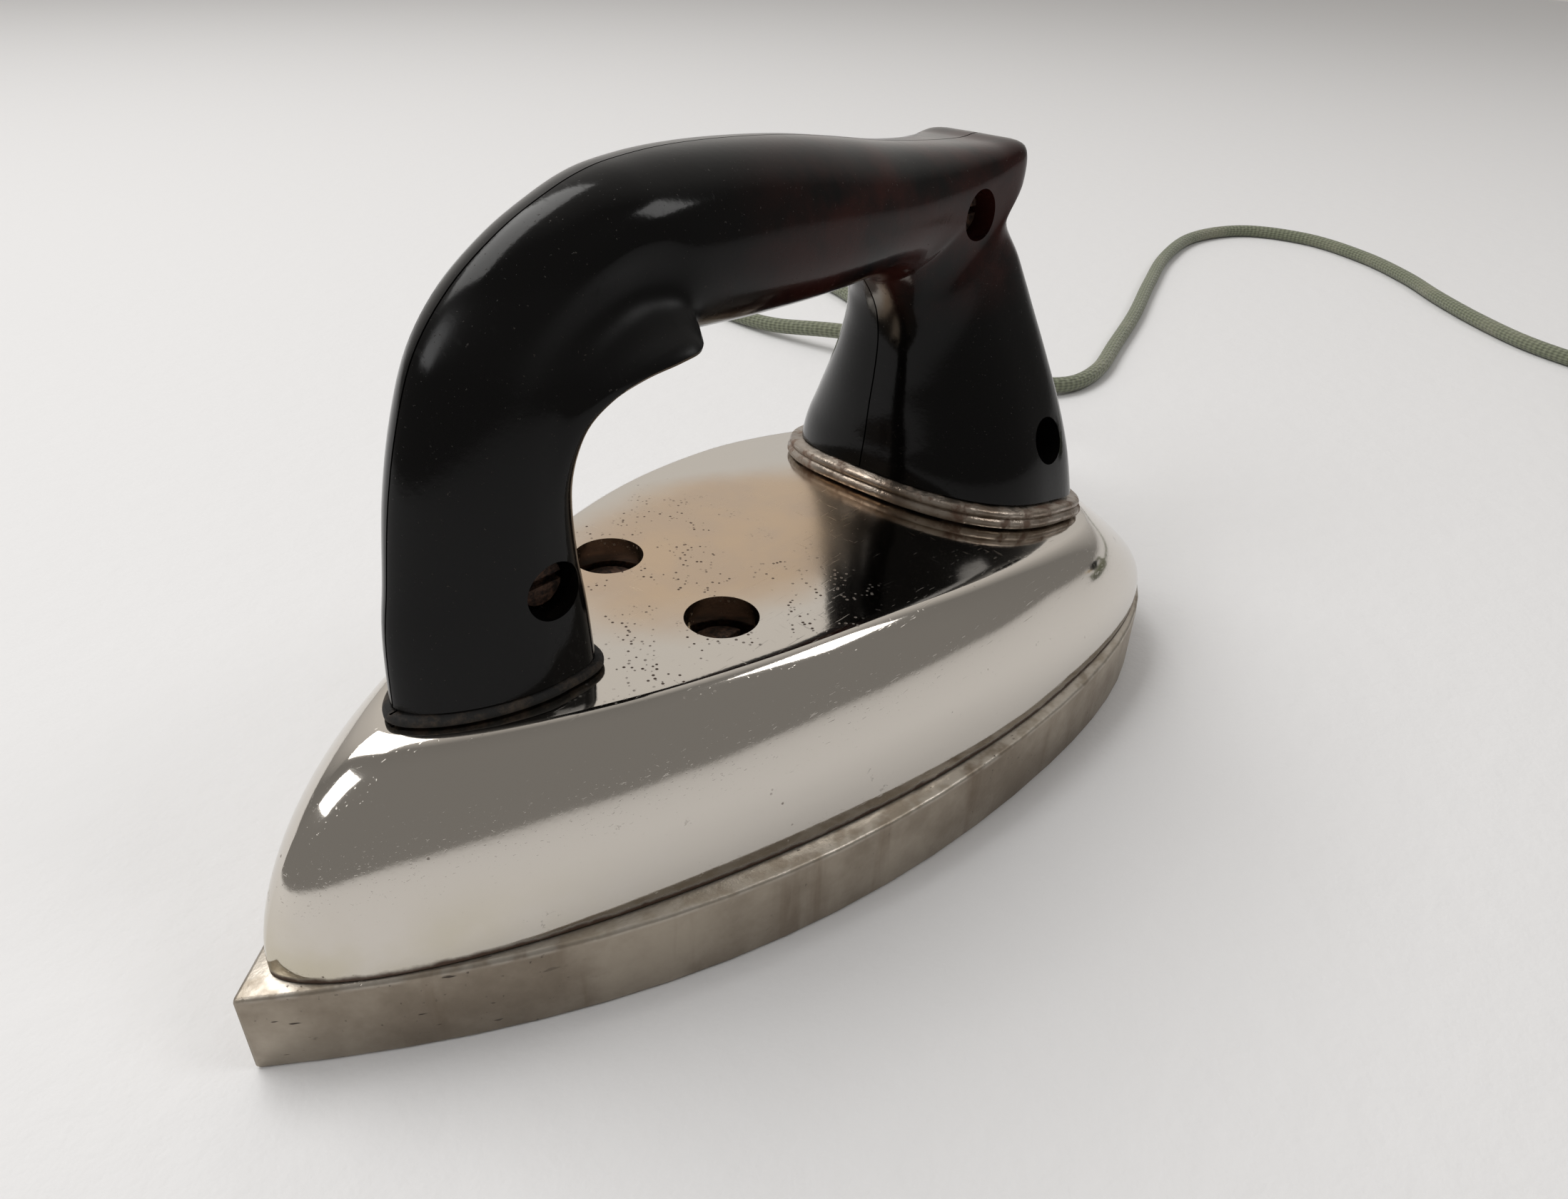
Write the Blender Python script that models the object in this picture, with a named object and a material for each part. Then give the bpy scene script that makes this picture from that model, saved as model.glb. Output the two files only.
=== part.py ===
"""A domestic dry iron: nickelled sole, chromed shell, two-piece black handle and a braided cord."""

import math

import bpy
from mathutils import Vector

# ---------------------------------------------------------------- clearances
GAP = 0.0003  # between pieces that touch
BORE_CLEARANCE = 0.0003  # around every pin, stud and screw

# ---------------------------------------------------------------- sole
SOLE_LENGTH = 0.208
SOLE_HALF_WIDTH = 0.049
SOLE_WIDEST_FROM_NOSE = 0.137
SOLE_THICKNESS = 0.015
SOLE_NOSE_PULL = (0.0368, 0.0309)  # how far the sides run straight back from the sharp nose
SIDE_PULL_FORWARD = 0.060
SIDE_PULL_BACK = 0.046
HEEL_PULL = 0.036
EDGE_BEVEL = 0.0007
SIDE_POINTS = 14

# ---------------------------------------------------------------- shell
LEDGE = 0.0023  # sole left bare beside the shell
SHELL_NOSE_LEDGE = 0.0059
SHELL_HEEL_LEDGE = 0.0018
SHELL_NOSE_PULL = (0.0018, 0.015)
SHELL_HEEL_PULL = 0.0412
SHELL_HEIGHT = 0.0302
SHELL_WALL = 0.001
SHOULDER_DEPTHS = (0.0224, 0.0104, 0.0205)  # at the nose, the sides and the heel
SHOULDER_DROP = 0.0285
SHOULDER_POWER = 1.61
SHOULDER_STEPS = 9
DECK_CROWN = 0.0041  # how much lower the rear deck is towards its sides
CROWN_REACH = 0.040
CROWN_STARTS = (0.092, 0.060)  # from the nose, and how far it takes to come in fully
DECK_FALL = 0.021  # how much lower the deck would be at the heel
FALL_START = 0.125
RIDGE_HALF_WIDTH = 0.0030
RIDGE_RUN = 0.026  # how much shorter the ridge is than the deck at each end
RIDGE_STEPS = 6

# ---------------------------------------------------------------- heater stack
MICA_THICKNESS = 0.0005
ELEMENT_THICKNESS = 0.0012
PAD_THICKNESS = 0.002
PRESSURE_PLATE_THICKNESS = 0.009
ELEMENT_INSET = 0.010
PRESSURE_PLATE_INSET = 0.014
ELEMENT_HEEL = 0.176
PRESSURE_PLATE_HEEL = 0.158

# ---------------------------------------------------------------- studs and cups
STUD_FROM_NOSE = 0.0806
STUD_HALF_SPACING = 0.0138
STUD_RADIUS = 0.003
STUD_DEPTH_IN_SOLE = 0.007
CLAMP_NUT_HEIGHT = 0.0045
CLAMP_NUT_RADIUS = 0.0057
CUP_RADIUS = 0.0061
CUP_WALL = 0.0009
CUP_FLOOR = 0.001
SHELL_NUT_RADIUS = 0.0052
SHELL_NUT_HEIGHT = 0.0042
SLOT_WIDTH = 0.0012
SLOT_DEPTH = 0.0014
STUD_OVER_NUT = 0.0006

# ---------------------------------------------------------------- handle
HANDLE_DRAWN_FOR = 0.0302  # the shell height that the handle's heights are given for
HANDLE_LIFT = SHELL_HEIGHT - HANDLE_DRAWN_FOR
SEAM_GAP = 0.0003
GASKET_THICKNESS = 0.0016
COLLAR_THICKNESS = 0.0036
GASKET_BORDER = 0.0006
COLLAR_BORDER = 0.0015
COLLAR_WIDTH = 0.007
REAR_FOOT_FRONT = 0.1316  # from the nose
REAR_FOOT_BACK = 0.1768
REAR_FOOT_HALF_WIDTH = 0.0296
REAR_FOOT_SHAPE = (0.40, 3.8, 2.2)  # where it is widest, and how square its back and front are
FRONT_FOOT_FRONT = 0.030
FRONT_FOOT_BACK = 0.060
FRONT_FOOT_HALF_WIDTH = 0.0113
FRONT_FOOT_SHAPE = (0.67, 1.6, 5.0)
FOOT_DRAWN_LOW = 0.0350  # the feet are cut off along the shell above this height
FOOT_LOW = FOOT_DRAWN_LOW + HANDLE_LIFT
SECTION_POINTS = 13
SCREW_RADIUS = 0.0020
SCREW_HEAD_RADIUS = 0.0036
SCREW_HEAD_HEIGHT = 0.0026
COUNTERBORE_RADIUS = 0.0044
NUT_HEIGHT = 0.0030
FRONT_SCREW = (0.0510, 0.0625 + HANDLE_LIFT)  # from the nose, above the floor
UPPER_SCREW = (0.1470, 0.0970 + HANDLE_LIFT)
LOWER_SCREW = (0.1600, 0.0545 + HANDLE_LIFT)
FRONT_SCREW_SEAT = 0.0052  # from the seam to the bottom of each counterbore
UPPER_SCREW_SEAT = 0.0056
LOWER_SCREW_SEAT = 0.0165
CAVITY_FRONT = 0.1372
CAVITY_BACK = 0.1672
CAVITY_HALF_WIDTH = 0.0122
CAVITY_WIDE_UP_TO = 0.0600 + HANDLE_LIFT
CAVITY_TOP = 0.0790 + HANDLE_LIFT
CAVITY_TAPER = (0.0030, 0.0085, 0.0060)  # how far its front, back and sides draw in at the top
TAB_THICKNESS = 0.002
TAB_HALF_LENGTH = 0.005
TAB_ABOVE_SCREW = 0.0055
BRACKET_FOOT_LENGTH = 0.010
BRACKET_FOOT_THICKNESS = 0.0015
BRACKET_FOOT_HALF_WIDTH = 0.0035
RIVET_RADIUS = 0.0015
RIVET_HEAD_RADIUS = 0.0026
RIVET_HEAD_HEIGHT = 0.0009
RIVET_FROM_CAVITY = 0.0036
BRACKET_FOOT_EDGE = 0.0032  # from a rivet to the end of the foot

# ---------------------------------------------------------------- electrics in the rear foot
BLOCK_SIZE = (0.0064, 0.0190, 0.0120)
TERMINAL_HALF_SPACING = 0.0052
TERMINAL_SCREW_RADIUS = 0.0013
TERMINAL_HEAD_RADIUS = 0.0024
LEAD_RADIUS = 0.0008
BEAD_RADIUS = 0.0018

# ---------------------------------------------------------------- cord
CORD_DIAMETER = 0.0055
CORD_OVER_FLOOR = 0.00005
SLEEVE_LENGTH = 0.032
SLEEVE_ROOT_RADIUS = 0.0058
SLEEVE_TIP_RADIUS = 0.0040
SLEEVE_INSIDE = 0.009
SLEEVE_COLLAR = 0.004  # how far the neck shows before the sleeve widens
SLEEVE_NECK_RADIUS = 0.0046
SLEEVE_SLOPE = math.radians(12.0)
SLEEVE_YAW = math.radians(25.0)  # towards the right side
SLEEVE_FROM_NOSE = 0.1676
SLEEVE_HEIGHT = 0.0740 + HANDLE_LIFT
CORD_STEP = 0.0146
COIL_CENTRE = (0.4400, -0.1300)  # from the nose, on the floor
COIL_MID_RADIUS = 0.0300
COIL_ROWS = 2
TIE_WIDTH = 0.006
TIE_THICKNESS = 0.0012
PLUG_LENGTH = 0.040
PLUG_RADIUS = 0.0137  # half its width
PLUG_FLATNESS = 0.66
PLUG_TURN = math.radians(18.0)  # where on the coil its back end lies
PLUG_PROFILE = [(0.0, 0.32), (0.15, 0.40), (0.30, 0.60), (0.50, 0.92), (0.65, 1.0), (0.95, 1.0),
                (1.0, 0.92)]  # share of the length, share of the half width
PLUG_PIN_RADIUS = 0.0024
PLUG_PIN_LENGTH = 0.019
PLUG_PIN_INSIDE = 0.012
PLUG_PIN_HALF_SPACING = 0.0095
PLUG_SCREW_SHARE = 0.72
PLUG_SCREW_RADIUS = 0.0014
PLUG_SCREW_HEAD_RADIUS = 0.0026
PLUG_SCREW_SEAT = 0.0050
TAIL_START = math.radians(150.0)
TAIL_STEPS = 8

# ---------------------------------------------------------------- heights that follow from the sizes
SHELL_BOTTOM = SOLE_THICKNESS + GAP
DECK = SHELL_BOTTOM + SHELL_HEIGHT
LOWER_MICA = SOLE_THICKNESS + GAP
ELEMENT = LOWER_MICA + MICA_THICKNESS + GAP
UPPER_MICA = ELEMENT + ELEMENT_THICKNESS + GAP
PAD = UPPER_MICA + MICA_THICKNESS + GAP
PRESSURE_PLATE = PAD + PAD_THICKNESS + GAP
CLAMP_NUT = PRESSURE_PLATE + PRESSURE_PLATE_THICKNESS + GAP
CUP_BOTTOM = CLAMP_NUT + CLAMP_NUT_HEIGHT + GAP
SHELL_NUT = CUP_BOTTOM + CUP_FLOOR + GAP
STUD_TOP = SHELL_NUT + SHELL_NUT_HEIGHT - SLOT_DEPTH - STUD_OVER_NUT
FOOT_BOTTOM = DECK + GAP + COLLAR_THICKNESS + GAP
MIDDLE = SOLE_LENGTH / 2  # the origin, under the middle of the sole


def at(from_nose):
    """World x of a place measured back from the nose."""
    return from_nose - MIDDLE


# ---------------------------------------------------------------- making objects
def material(name, colour, metallic, roughness):
    made = bpy.data.materials.new(name)
    made.use_nodes = True
    shader = made.node_tree.nodes["Principled BSDF"]
    shader.inputs["Base Color"].default_value = (*colour, 1.0)
    shader.inputs["Metallic"].default_value = metallic
    shader.inputs["Roughness"].default_value = roughness
    made.diffuse_color = (*colour, 1.0)
    return made


FINISHES = {
    "nickel": ((0.42, 0.38, 0.32), 1.0, 0.42),
    "chrome": ((0.78, 0.76, 0.72), 1.0, 0.10),
    "bakelite": ((0.012, 0.012, 0.013), 0.0, 0.18),
    "mica": ((0.62, 0.55, 0.42), 0.0, 0.35),
    "resistance": ((0.40, 0.37, 0.33), 0.8, 0.40),
    "millboard": ((0.70, 0.69, 0.65), 0.0, 0.90),
    "iron": ((0.10, 0.09, 0.085), 0.9, 0.60),
    "steel": ((0.45, 0.43, 0.40), 1.0, 0.35),
    "rusty": ((0.16, 0.09, 0.06), 0.6, 0.65),
    "fibre": ((0.03, 0.03, 0.03), 0.0, 0.80),
    "porcelain": ((0.80, 0.78, 0.72), 0.0, 0.25),
    "brass": ((0.62, 0.45, 0.18), 1.0, 0.30),
    "rubber": ((0.03, 0.03, 0.032), 0.0, 0.60),
    "braid": ((0.17, 0.21, 0.13), 0.0, 0.85),
}
MATERIALS = {}


def finish(made, kind):
    if kind not in MATERIALS:
        MATERIALS[kind] = material(kind, *FINISHES[kind])
    made.data.materials.append(MATERIALS[kind])


def mesh_object(name, points, faces, kind):
    data = bpy.data.meshes.new(name)
    data.from_pydata([tuple(p) for p in points], [], faces)
    data.validate()
    made = bpy.data.objects.new(name, data)
    bpy.context.scene.collection.objects.link(made)
    if kind:
        finish(made, kind)
    return made


def loft(name, rings, kind, strips=False):
    """A closed body through rings of equally many points.

    Its ends are single faces, but for a curved last end that is closed by strips across it.
    """
    count = len(rings[0])
    points = [p for ring in rings for p in ring]
    faces = []
    for k in range(len(rings) - 1):
        for i in range(count):
            j = (i + 1) % count
            low, high = k * count, (k + 1) * count
            faces.append((low + i, low + j, high + j, high + i))
    faces.append(tuple(reversed(range(count))))
    last = (len(rings) - 1) * count
    if strips:
        faces += strips_across(last, count)
    else:
        faces.append(tuple(range(last, last + count)))
    if signed_volume(points, faces) < 0:
        faces = [tuple(reversed(f)) for f in faces]
    return mesh_object(name, points, faces, kind)


def strips_across(first, count):
    """Faces that join a symmetrical ring's left and right points, from its nose to its heel."""
    half = count // 2
    faces = [(first, first + 1, first + count - 1)]
    for i in range(1, half - 1):
        faces.append((first + i, first + i + 1, first + count - i - 1, first + count - i))
    faces.append((first + half - 1, first + half, first + half + 1))
    return faces


def signed_volume(points, faces):
    total = 0.0
    for face in faces:
        a = Vector(points[face[0]])
        for i in range(1, len(face) - 1):
            total += a.dot(Vector(points[face[i]]).cross(Vector(points[face[i + 1]])))
    return total


def prism(name, outline, low, high, kind):
    """An upright body with the same outline from its low to its high end."""
    rings = [[(x, y, z) for x, y in outline] for z in (low, high)]
    return loft(name, rings, kind)


def circle(x, y, radius, count=20, turn=0.0):
    step = 2 * math.pi / count
    return [
        (x + radius * math.cos(turn + i * step), y + radius * math.sin(turn + i * step))
        for i in range(count)
    ]


def rectangle(x0, x1, y0, y1):
    return [(x0, y0), (x1, y0), (x1, y1), (x0, y1)]


def turned(name, origin, axis, profile, kind, count=20):
    """A body turned round an axis from (distance along it, radius) pairs, low end first."""
    origin, axis = Vector(origin), Vector(axis).normalized()
    side = axis.orthogonal().normalized()
    other = axis.cross(side)
    rings = []
    for along, radius in profile:
        centre = origin + along * axis
        ring = []
        for i in range(count):
            angle = 2 * math.pi * i / count
            ring.append(centre + radius * (math.cos(angle) * side + math.sin(angle) * other))
        rings.append(ring)
    return loft(name, rings, kind)


def box(name, low, high, kind):
    return prism(name, rectangle(low[0], high[0], low[1], high[1]), low[2], high[2], kind)


def combine(target, tool, operation="DIFFERENCE"):
    """Cuts a hidden tool out of the target, or joins it on."""
    tool.hide_render = True
    tool.display_type = "WIRE"
    step = target.modifiers.new(tool.name, "BOOLEAN")
    step.operation = operation
    step.object = tool
    step.solver = "EXACT"


def drill(target, x, y, radius, low, high):
    combine(target, prism(target.name + "_hole", circle(x, y, radius), low, high, None))


def smooth(made, angle=math.radians(35)):
    made.data.shade_smooth()
    made.data.set_sharp_from_angle(angle=angle)


# ---------------------------------------------------------------- outlines
def bezier(a, b, c, d, t):
    s = 1 - t
    return tuple(
        s**3 * a[k] + 3 * s**2 * t * b[k] + 3 * s * t**2 * c[k] + t**3 * d[k] for k in range(2)
    )


def boat(nose, heel, half_width, nose_pull, heel_pull):
    """A boat-shaped outline, nose first, round the left side, the heel and the right side."""
    scale = half_width / SOLE_HALF_WIDTH
    widest = SOLE_WIDEST_FROM_NOSE
    forward = SIDE_PULL_FORWARD * (widest - nose) / widest
    back = SIDE_PULL_BACK * (heel - widest) / (SOLE_LENGTH - widest)
    side = [
        (nose, 0.0),
        (nose + nose_pull[0], nose_pull[1]),
        (widest - forward, half_width),
        (widest, half_width),
    ]
    stern = [
        (widest, half_width),
        (widest + back, half_width),
        (heel, heel_pull * scale),
        (heel, 0.0),
    ]
    half = [bezier(*side, i / SIDE_POINTS) for i in range(SIDE_POINTS)]
    half += [bezier(*stern, i / SIDE_POINTS) for i in range(SIDE_POINTS + 1)]
    right = [(at(x), -y) for x, y in half]
    left = [(at(x), y) for x, y in reversed(half[1:-1])]
    return right + left


def plate_outline(inset, heel):
    """The sole's outline, drawn in by a named inset and stopped short at the heel."""
    scale = (SOLE_HALF_WIDTH - inset) / SOLE_HALF_WIDTH
    pull = (SOLE_NOSE_PULL[0] * scale, SOLE_NOSE_PULL[1] * scale)
    nose = inset / math.sin(math.atan2(SOLE_NOSE_PULL[1], SOLE_NOSE_PULL[0]))
    return boat(nose, heel, SOLE_HALF_WIDTH - inset, pull, HEEL_PULL)


def deck_fall(x, y):
    """How much lower the deck is at a world x and y than over its flat front."""
    from_nose = x + MIDDLE
    share = min(1.0, abs(y) / CROWN_REACH)
    come_in = min(1.0, max(0.0, (from_nose - CROWN_STARTS[0]) / CROWN_STARTS[1]))
    crown = DECK_CROWN * come_in * (1 - math.cos(math.pi * share)) / 2
    run = max(0.0, (from_nose - FALL_START) / (SOLE_LENGTH - FALL_START))
    return crown + DECK_FALL * run**2


def shell_ring(share, ridge, inset):
    """One level of the shell: share runs up the shoulder, then ridge runs in over the deck."""
    curve = 1 - (1 - share**SHOULDER_POWER) ** (1 / SHOULDER_POWER)
    nose, side, heel = (depth * curve + inset for depth in SHOULDER_DEPTHS)
    half_width = SOLE_HALF_WIDTH - LEDGE - side
    half_width += ridge * (RIDGE_HALF_WIDTH - half_width)
    scale = half_width / (SOLE_HALF_WIDTH - LEDGE)
    pull = (SHELL_NOSE_PULL[0] * scale, SHELL_NOSE_PULL[1] * scale)
    outline = boat(SHELL_NOSE_LEDGE + nose + ridge * RIDGE_RUN,
                   SOLE_LENGTH - SHELL_HEEL_LEDGE - heel - ridge * RIDGE_RUN,
                   half_width, pull, SHELL_HEEL_PULL)
    start = SHELL_BOTTOM + SHELL_HEIGHT - SHOULDER_DROP - inset
    return [(x, y, start + share * (SHOULDER_DROP - deck_fall(x, y))) for x, y in outline]


# ---------------------------------------------------------------- sole and heater
def stud_places():
    return [("left", -STUD_HALF_SPACING), ("right", STUD_HALF_SPACING)]


def soleplate():
    plate = prism("soleplate", boat(0.0, SOLE_LENGTH, SOLE_HALF_WIDTH, SOLE_NOSE_PULL, HEEL_PULL),
                  0.0, SOLE_THICKNESS, "nickel")
    edge = plate.modifiers.new("edge", "BEVEL")
    edge.width = EDGE_BEVEL
    edge.segments = 2
    edge.limit_method = "ANGLE"
    edge.angle_limit = math.radians(60)
    for _, y in stud_places():
        drill(plate, at(STUD_FROM_NOSE), y, STUD_RADIUS + BORE_CLEARANCE,
              SOLE_THICKNESS - STUD_DEPTH_IN_SOLE - GAP, SOLE_THICKNESS + SHELL_HEIGHT)


def stack_sheet(name, inset, heel, low, thickness, kind):
    sheet = prism(name, plate_outline(inset, heel), low, low + thickness, kind)
    for _, y in stud_places():
        drill(sheet, at(STUD_FROM_NOSE), y, STUD_RADIUS + BORE_CLEARANCE,
              low - thickness, low + 2 * thickness)


def heater():
    stack_sheet("mica_sheet_lower", ELEMENT_INSET, ELEMENT_HEEL, LOWER_MICA, MICA_THICKNESS, "mica")
    stack_sheet("heating_element", ELEMENT_INSET, ELEMENT_HEEL, ELEMENT, ELEMENT_THICKNESS,
                "resistance")
    stack_sheet("mica_sheet_upper", ELEMENT_INSET, PRESSURE_PLATE_HEEL, UPPER_MICA,
                MICA_THICKNESS, "mica")
    stack_sheet("insulation_pad", PRESSURE_PLATE_INSET, PRESSURE_PLATE_HEEL, PAD, PAD_THICKNESS,
                "millboard")
    stack_sheet("pressure_plate", PRESSURE_PLATE_INSET, PRESSURE_PLATE_HEEL, PRESSURE_PLATE,
                PRESSURE_PLATE_THICKNESS, "iron")


def stud_set():
    for side, y in stud_places():
        x = at(STUD_FROM_NOSE)
        low = SOLE_THICKNESS - STUD_DEPTH_IN_SOLE
        prism("stud_" + side, circle(x, y, STUD_RADIUS), low, STUD_TOP, "steel")
        nut = prism("clamp_nut_" + side, circle(x, y, CLAMP_NUT_RADIUS, 6), CLAMP_NUT,
                    CLAMP_NUT + CLAMP_NUT_HEIGHT, "steel")
        drill(nut, x, y, STUD_RADIUS + BORE_CLEARANCE, CLAMP_NUT - CLAMP_NUT_HEIGHT,
              CLAMP_NUT + 2 * CLAMP_NUT_HEIGHT)
        slotted_nut(side, x, y)


def slotted_nut(side, x, y):
    top = SHELL_NUT + SHELL_NUT_HEIGHT
    nut = prism("shell_nut_" + side, circle(x, y, SHELL_NUT_RADIUS), SHELL_NUT, top, "rusty")
    drill(nut, x, y, STUD_RADIUS + BORE_CLEARANCE, SHELL_NUT - SHELL_NUT_HEIGHT,
          top - SLOT_DEPTH - STUD_OVER_NUT + GAP)
    low = (x - 2 * SHELL_NUT_RADIUS, y - SLOT_WIDTH / 2, top - SLOT_DEPTH)
    high = (x + 2 * SHELL_NUT_RADIUS, y + SLOT_WIDTH / 2, top + SLOT_DEPTH)
    combine(nut, box(nut.name + "_slot", low, high, None))


# ---------------------------------------------------------------- shell
def shell_body(name, inset, low, kind):
    """The shell's outer face, drawn in or grown by an inset, as a closed body down to a low end."""
    rings = [[(x, y, low) for x, y, _ in shell_ring(0.0, 0.0, inset)]]
    for i in range(SHOULDER_STEPS + 1):
        rings.append(shell_ring(math.sin(math.pi / 2 * i / SHOULDER_STEPS), 0.0, inset))
    for i in range(1, RIDGE_STEPS + 1):
        rings.append(shell_ring(1.0, i / RIDGE_STEPS, inset))
    return loft(name, rings, kind, strips=True)


def shell():
    body = shell_body("shell", 0.0, SHELL_BOTTOM, "chrome")
    inside = shell_body("shell_inside", SHELL_WALL, SOLE_THICKNESS / 2, None)
    combine(body, inside)
    x = at(STUD_FROM_NOSE)
    for side, y in stud_places():
        combine(inside, prism("cup_" + side, circle(x, y, CUP_RADIUS + CUP_WALL, 24), CUP_BOTTOM,
                              DECK + SHELL_WALL, None))
        combine(body, prism("cup_well_" + side, circle(x, y, CUP_RADIUS, 24),
                            CUP_BOTTOM + CUP_FLOOR, DECK + SHELL_WALL, None))
        drill(body, x, y, STUD_RADIUS + BORE_CLEARANCE, PRESSURE_PLATE, SHELL_NUT)
    opening = rectangle(at(CAVITY_FRONT), at(CAVITY_BACK), -CAVITY_HALF_WIDTH, CAVITY_HALF_WIDTH)
    cut_deck(body, "deck_opening", opening)
    slot_half = TAB_THICKNESS / 2 + BORE_CLEARANCE
    length = TAB_HALF_LENGTH + BORE_CLEARANCE
    x = at(FRONT_SCREW[0])
    cut_deck(body, "front_slot", rectangle(x - length, x + length, -slot_half, slot_half))
    for rivet_x, rivet_y in rivet_places().values():
        drill(body, rivet_x, rivet_y, RIVET_RADIUS + BORE_CLEARANCE, CUP_BOTTOM, DECK + SHELL_WALL)
    smooth(body)


def cut_deck(body, name, outline):
    combine(body, prism(name, outline, PRESSURE_PLATE, DECK + SHELL_WALL, None))


# ---------------------------------------------------------------- handle
def section(outer, inner, half_width, widest, outer_power, inner_power, bulge=0.0, scoop=0.0):
    """Half a cross-section, from the outer seam edge round to the inner one.

    The section lies between two points of the side view. widest is the share of the way
    from the outer point where the half width is reached, and the powers say how square
    each end is. bulge and scoop are the thumb rest's lip and the hollow over it.
    """
    points = []
    for i in range(SECTION_POINTS):
        share = (1 - math.cos(math.pi * i / (SECTION_POINTS - 1))) / 2
        reach, power = (widest, outer_power) if share < widest else (1 - widest, inner_power)
        away = abs(share - widest) / reach
        y = half_width * max(0.0, 1 - away**power) ** (1 / power)
        y += bulge * math.exp(-(((share - 0.84) / 0.13) ** 2))
        y -= scoop * math.exp(-(((share - 0.50) / 0.18) ** 2))
        x = outer[0] + share * (inner[0] - outer[0])
        z = outer[1] + share * (inner[1] - outer[1]) + HANDLE_LIFT
        points.append((at(x), max(y, 0.0) + SEAM_GAP / 2, z))
    return points


def stations():
    """The handle's cross-sections from the front foot over the grip to the rear foot.

    Each holds the outer and inner point of the side view, the half width, where it is
    reached, the squareness of the outer and the inner end, and the thumb rest's lip and hollow.
    """
    foot = FRONT_FOOT_HALF_WIDTH
    widest, back_power, front_power = REAR_FOOT_SHAPE
    return [
        ((FRONT_FOOT_FRONT, FOOT_DRAWN_LOW), (FRONT_FOOT_BACK, FOOT_DRAWN_LOW), foot, *FRONT_FOOT_SHAPE),
        ((0.0312, 0.056), (0.0588, 0.056), foot, 0.66, 1.6, 4.5),
        ((0.0330, 0.066), (0.0578, 0.066), foot, 0.66, 1.6, 4.0),
        ((0.0352, 0.077), (0.0580, 0.076), foot, 0.66, 1.65, 3.4, 0.0004, 0.0),
        ((0.0382, 0.087), (0.0604, 0.083), 0.0114, 0.64, 1.65, 3.0, 0.0016, 0.0002),
        ((0.0420, 0.0953), (0.0636, 0.0866), 0.0116, 0.62, 1.65, 2.8, 0.0036, 0.0008),
        ((0.0480, 0.1020), (0.0674, 0.0884), 0.0118, 0.58, 1.7, 2.6, 0.0060, 0.0016),
        ((0.0560, 0.1074), (0.0712, 0.0892), 0.0120, 0.55, 1.75, 2.5, 0.0080, 0.0022),
        ((0.0640, 0.1110), (0.0742, 0.0894), 0.0122, 0.52, 1.8, 2.4, 0.0082, 0.0024),
        ((0.0702, 0.1129), (0.0766, 0.0896), 0.0124, 0.50, 1.9, 2.3, 0.0050, 0.0016),
        ((0.0760, 0.1137), (0.0788, 0.0897), 0.0125, 0.50, 2.0, 2.4, 0.0008, 0.0004),
        ((0.0840, 0.1141), (0.0845, 0.0893), 0.0126, 0.50, 2.1, 2.4),
        ((0.0950, 0.1138), (0.0945, 0.0887), 0.0128, 0.50, 2.2, 2.4),
        ((0.1080, 0.1128), (0.1060, 0.0884), 0.0128, 0.50, 2.2, 2.4),
        ((0.1200, 0.1112), (0.1150, 0.0885), 0.0126, 0.50, 2.2, 2.4),
        ((0.1330, 0.1092), (0.1225, 0.0888), 0.0122, 0.50, 2.4, 2.4),
        ((0.1470, 0.1077), (0.1270, 0.0882), 0.0118, 0.48, 3.2, 2.4),
        ((0.1560, 0.1071), (0.1290, 0.0874), 0.0117, 0.46, 5.0, 2.5),
        ((0.1626, 0.1070), (0.1302, 0.0866), 0.0117, 0.46, 7.0, 2.5),
        ((0.1632, 0.1018), (0.1332, 0.0828), 0.0119, 0.44, 6.0, 2.5),
        ((0.1588, 0.0962), (0.1350, 0.0790), 0.0126, 0.42, 4.0, 2.5),
        ((0.1632, 0.0885), (0.1358, 0.0740), 0.0144, 0.41, 3.8, 2.4),
        ((0.1671, 0.0790), (0.1354, 0.0680), 0.0170, 0.40, 3.8, 2.3),
        ((0.1701, 0.0700), (0.1345, 0.0620), 0.0201, 0.40, back_power, front_power),
        ((0.1726, 0.0600), (0.1338, 0.0555), 0.0237, 0.40, back_power, front_power),
        ((0.1746, 0.0490), (0.1328, 0.0490), 0.0270, widest, back_power, front_power),
        ((REAR_FOOT_BACK, FOOT_DRAWN_LOW), (REAR_FOOT_FRONT, FOOT_DRAWN_LOW), REAR_FOOT_HALF_WIDTH,
         widest, back_power, front_power),
    ]


def cavity():
    """The space in the rear foot for the terminals, open below."""
    front, back, side = CAVITY_TAPER
    rings = []
    for level, taper in ((FOOT_LOW - GAP, 0.0), (CAVITY_WIDE_UP_TO, 0.0), (CAVITY_TOP, 1.0)):
        half = CAVITY_HALF_WIDTH - taper * side
        outline = rectangle(at(CAVITY_FRONT + taper * front) + GAP,
                            at(CAVITY_BACK - taper * back) - GAP, -half, half)
        rings.append([(x, y, level) for x, y in outline])
    return loft("rear_cavity", rings, None)


def front_slot():
    half = TAB_THICKNESS / 2 + BORE_CLEARANCE
    length = TAB_HALF_LENGTH + BORE_CLEARANCE
    x = at(FRONT_SCREW[0])
    top = FRONT_SCREW[1] + TAB_ABOVE_SCREW + BORE_CLEARANCE
    return box("front_tab_slot", (x - length, -half, FOOT_LOW - GAP), (x + length, half, top), None)


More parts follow.
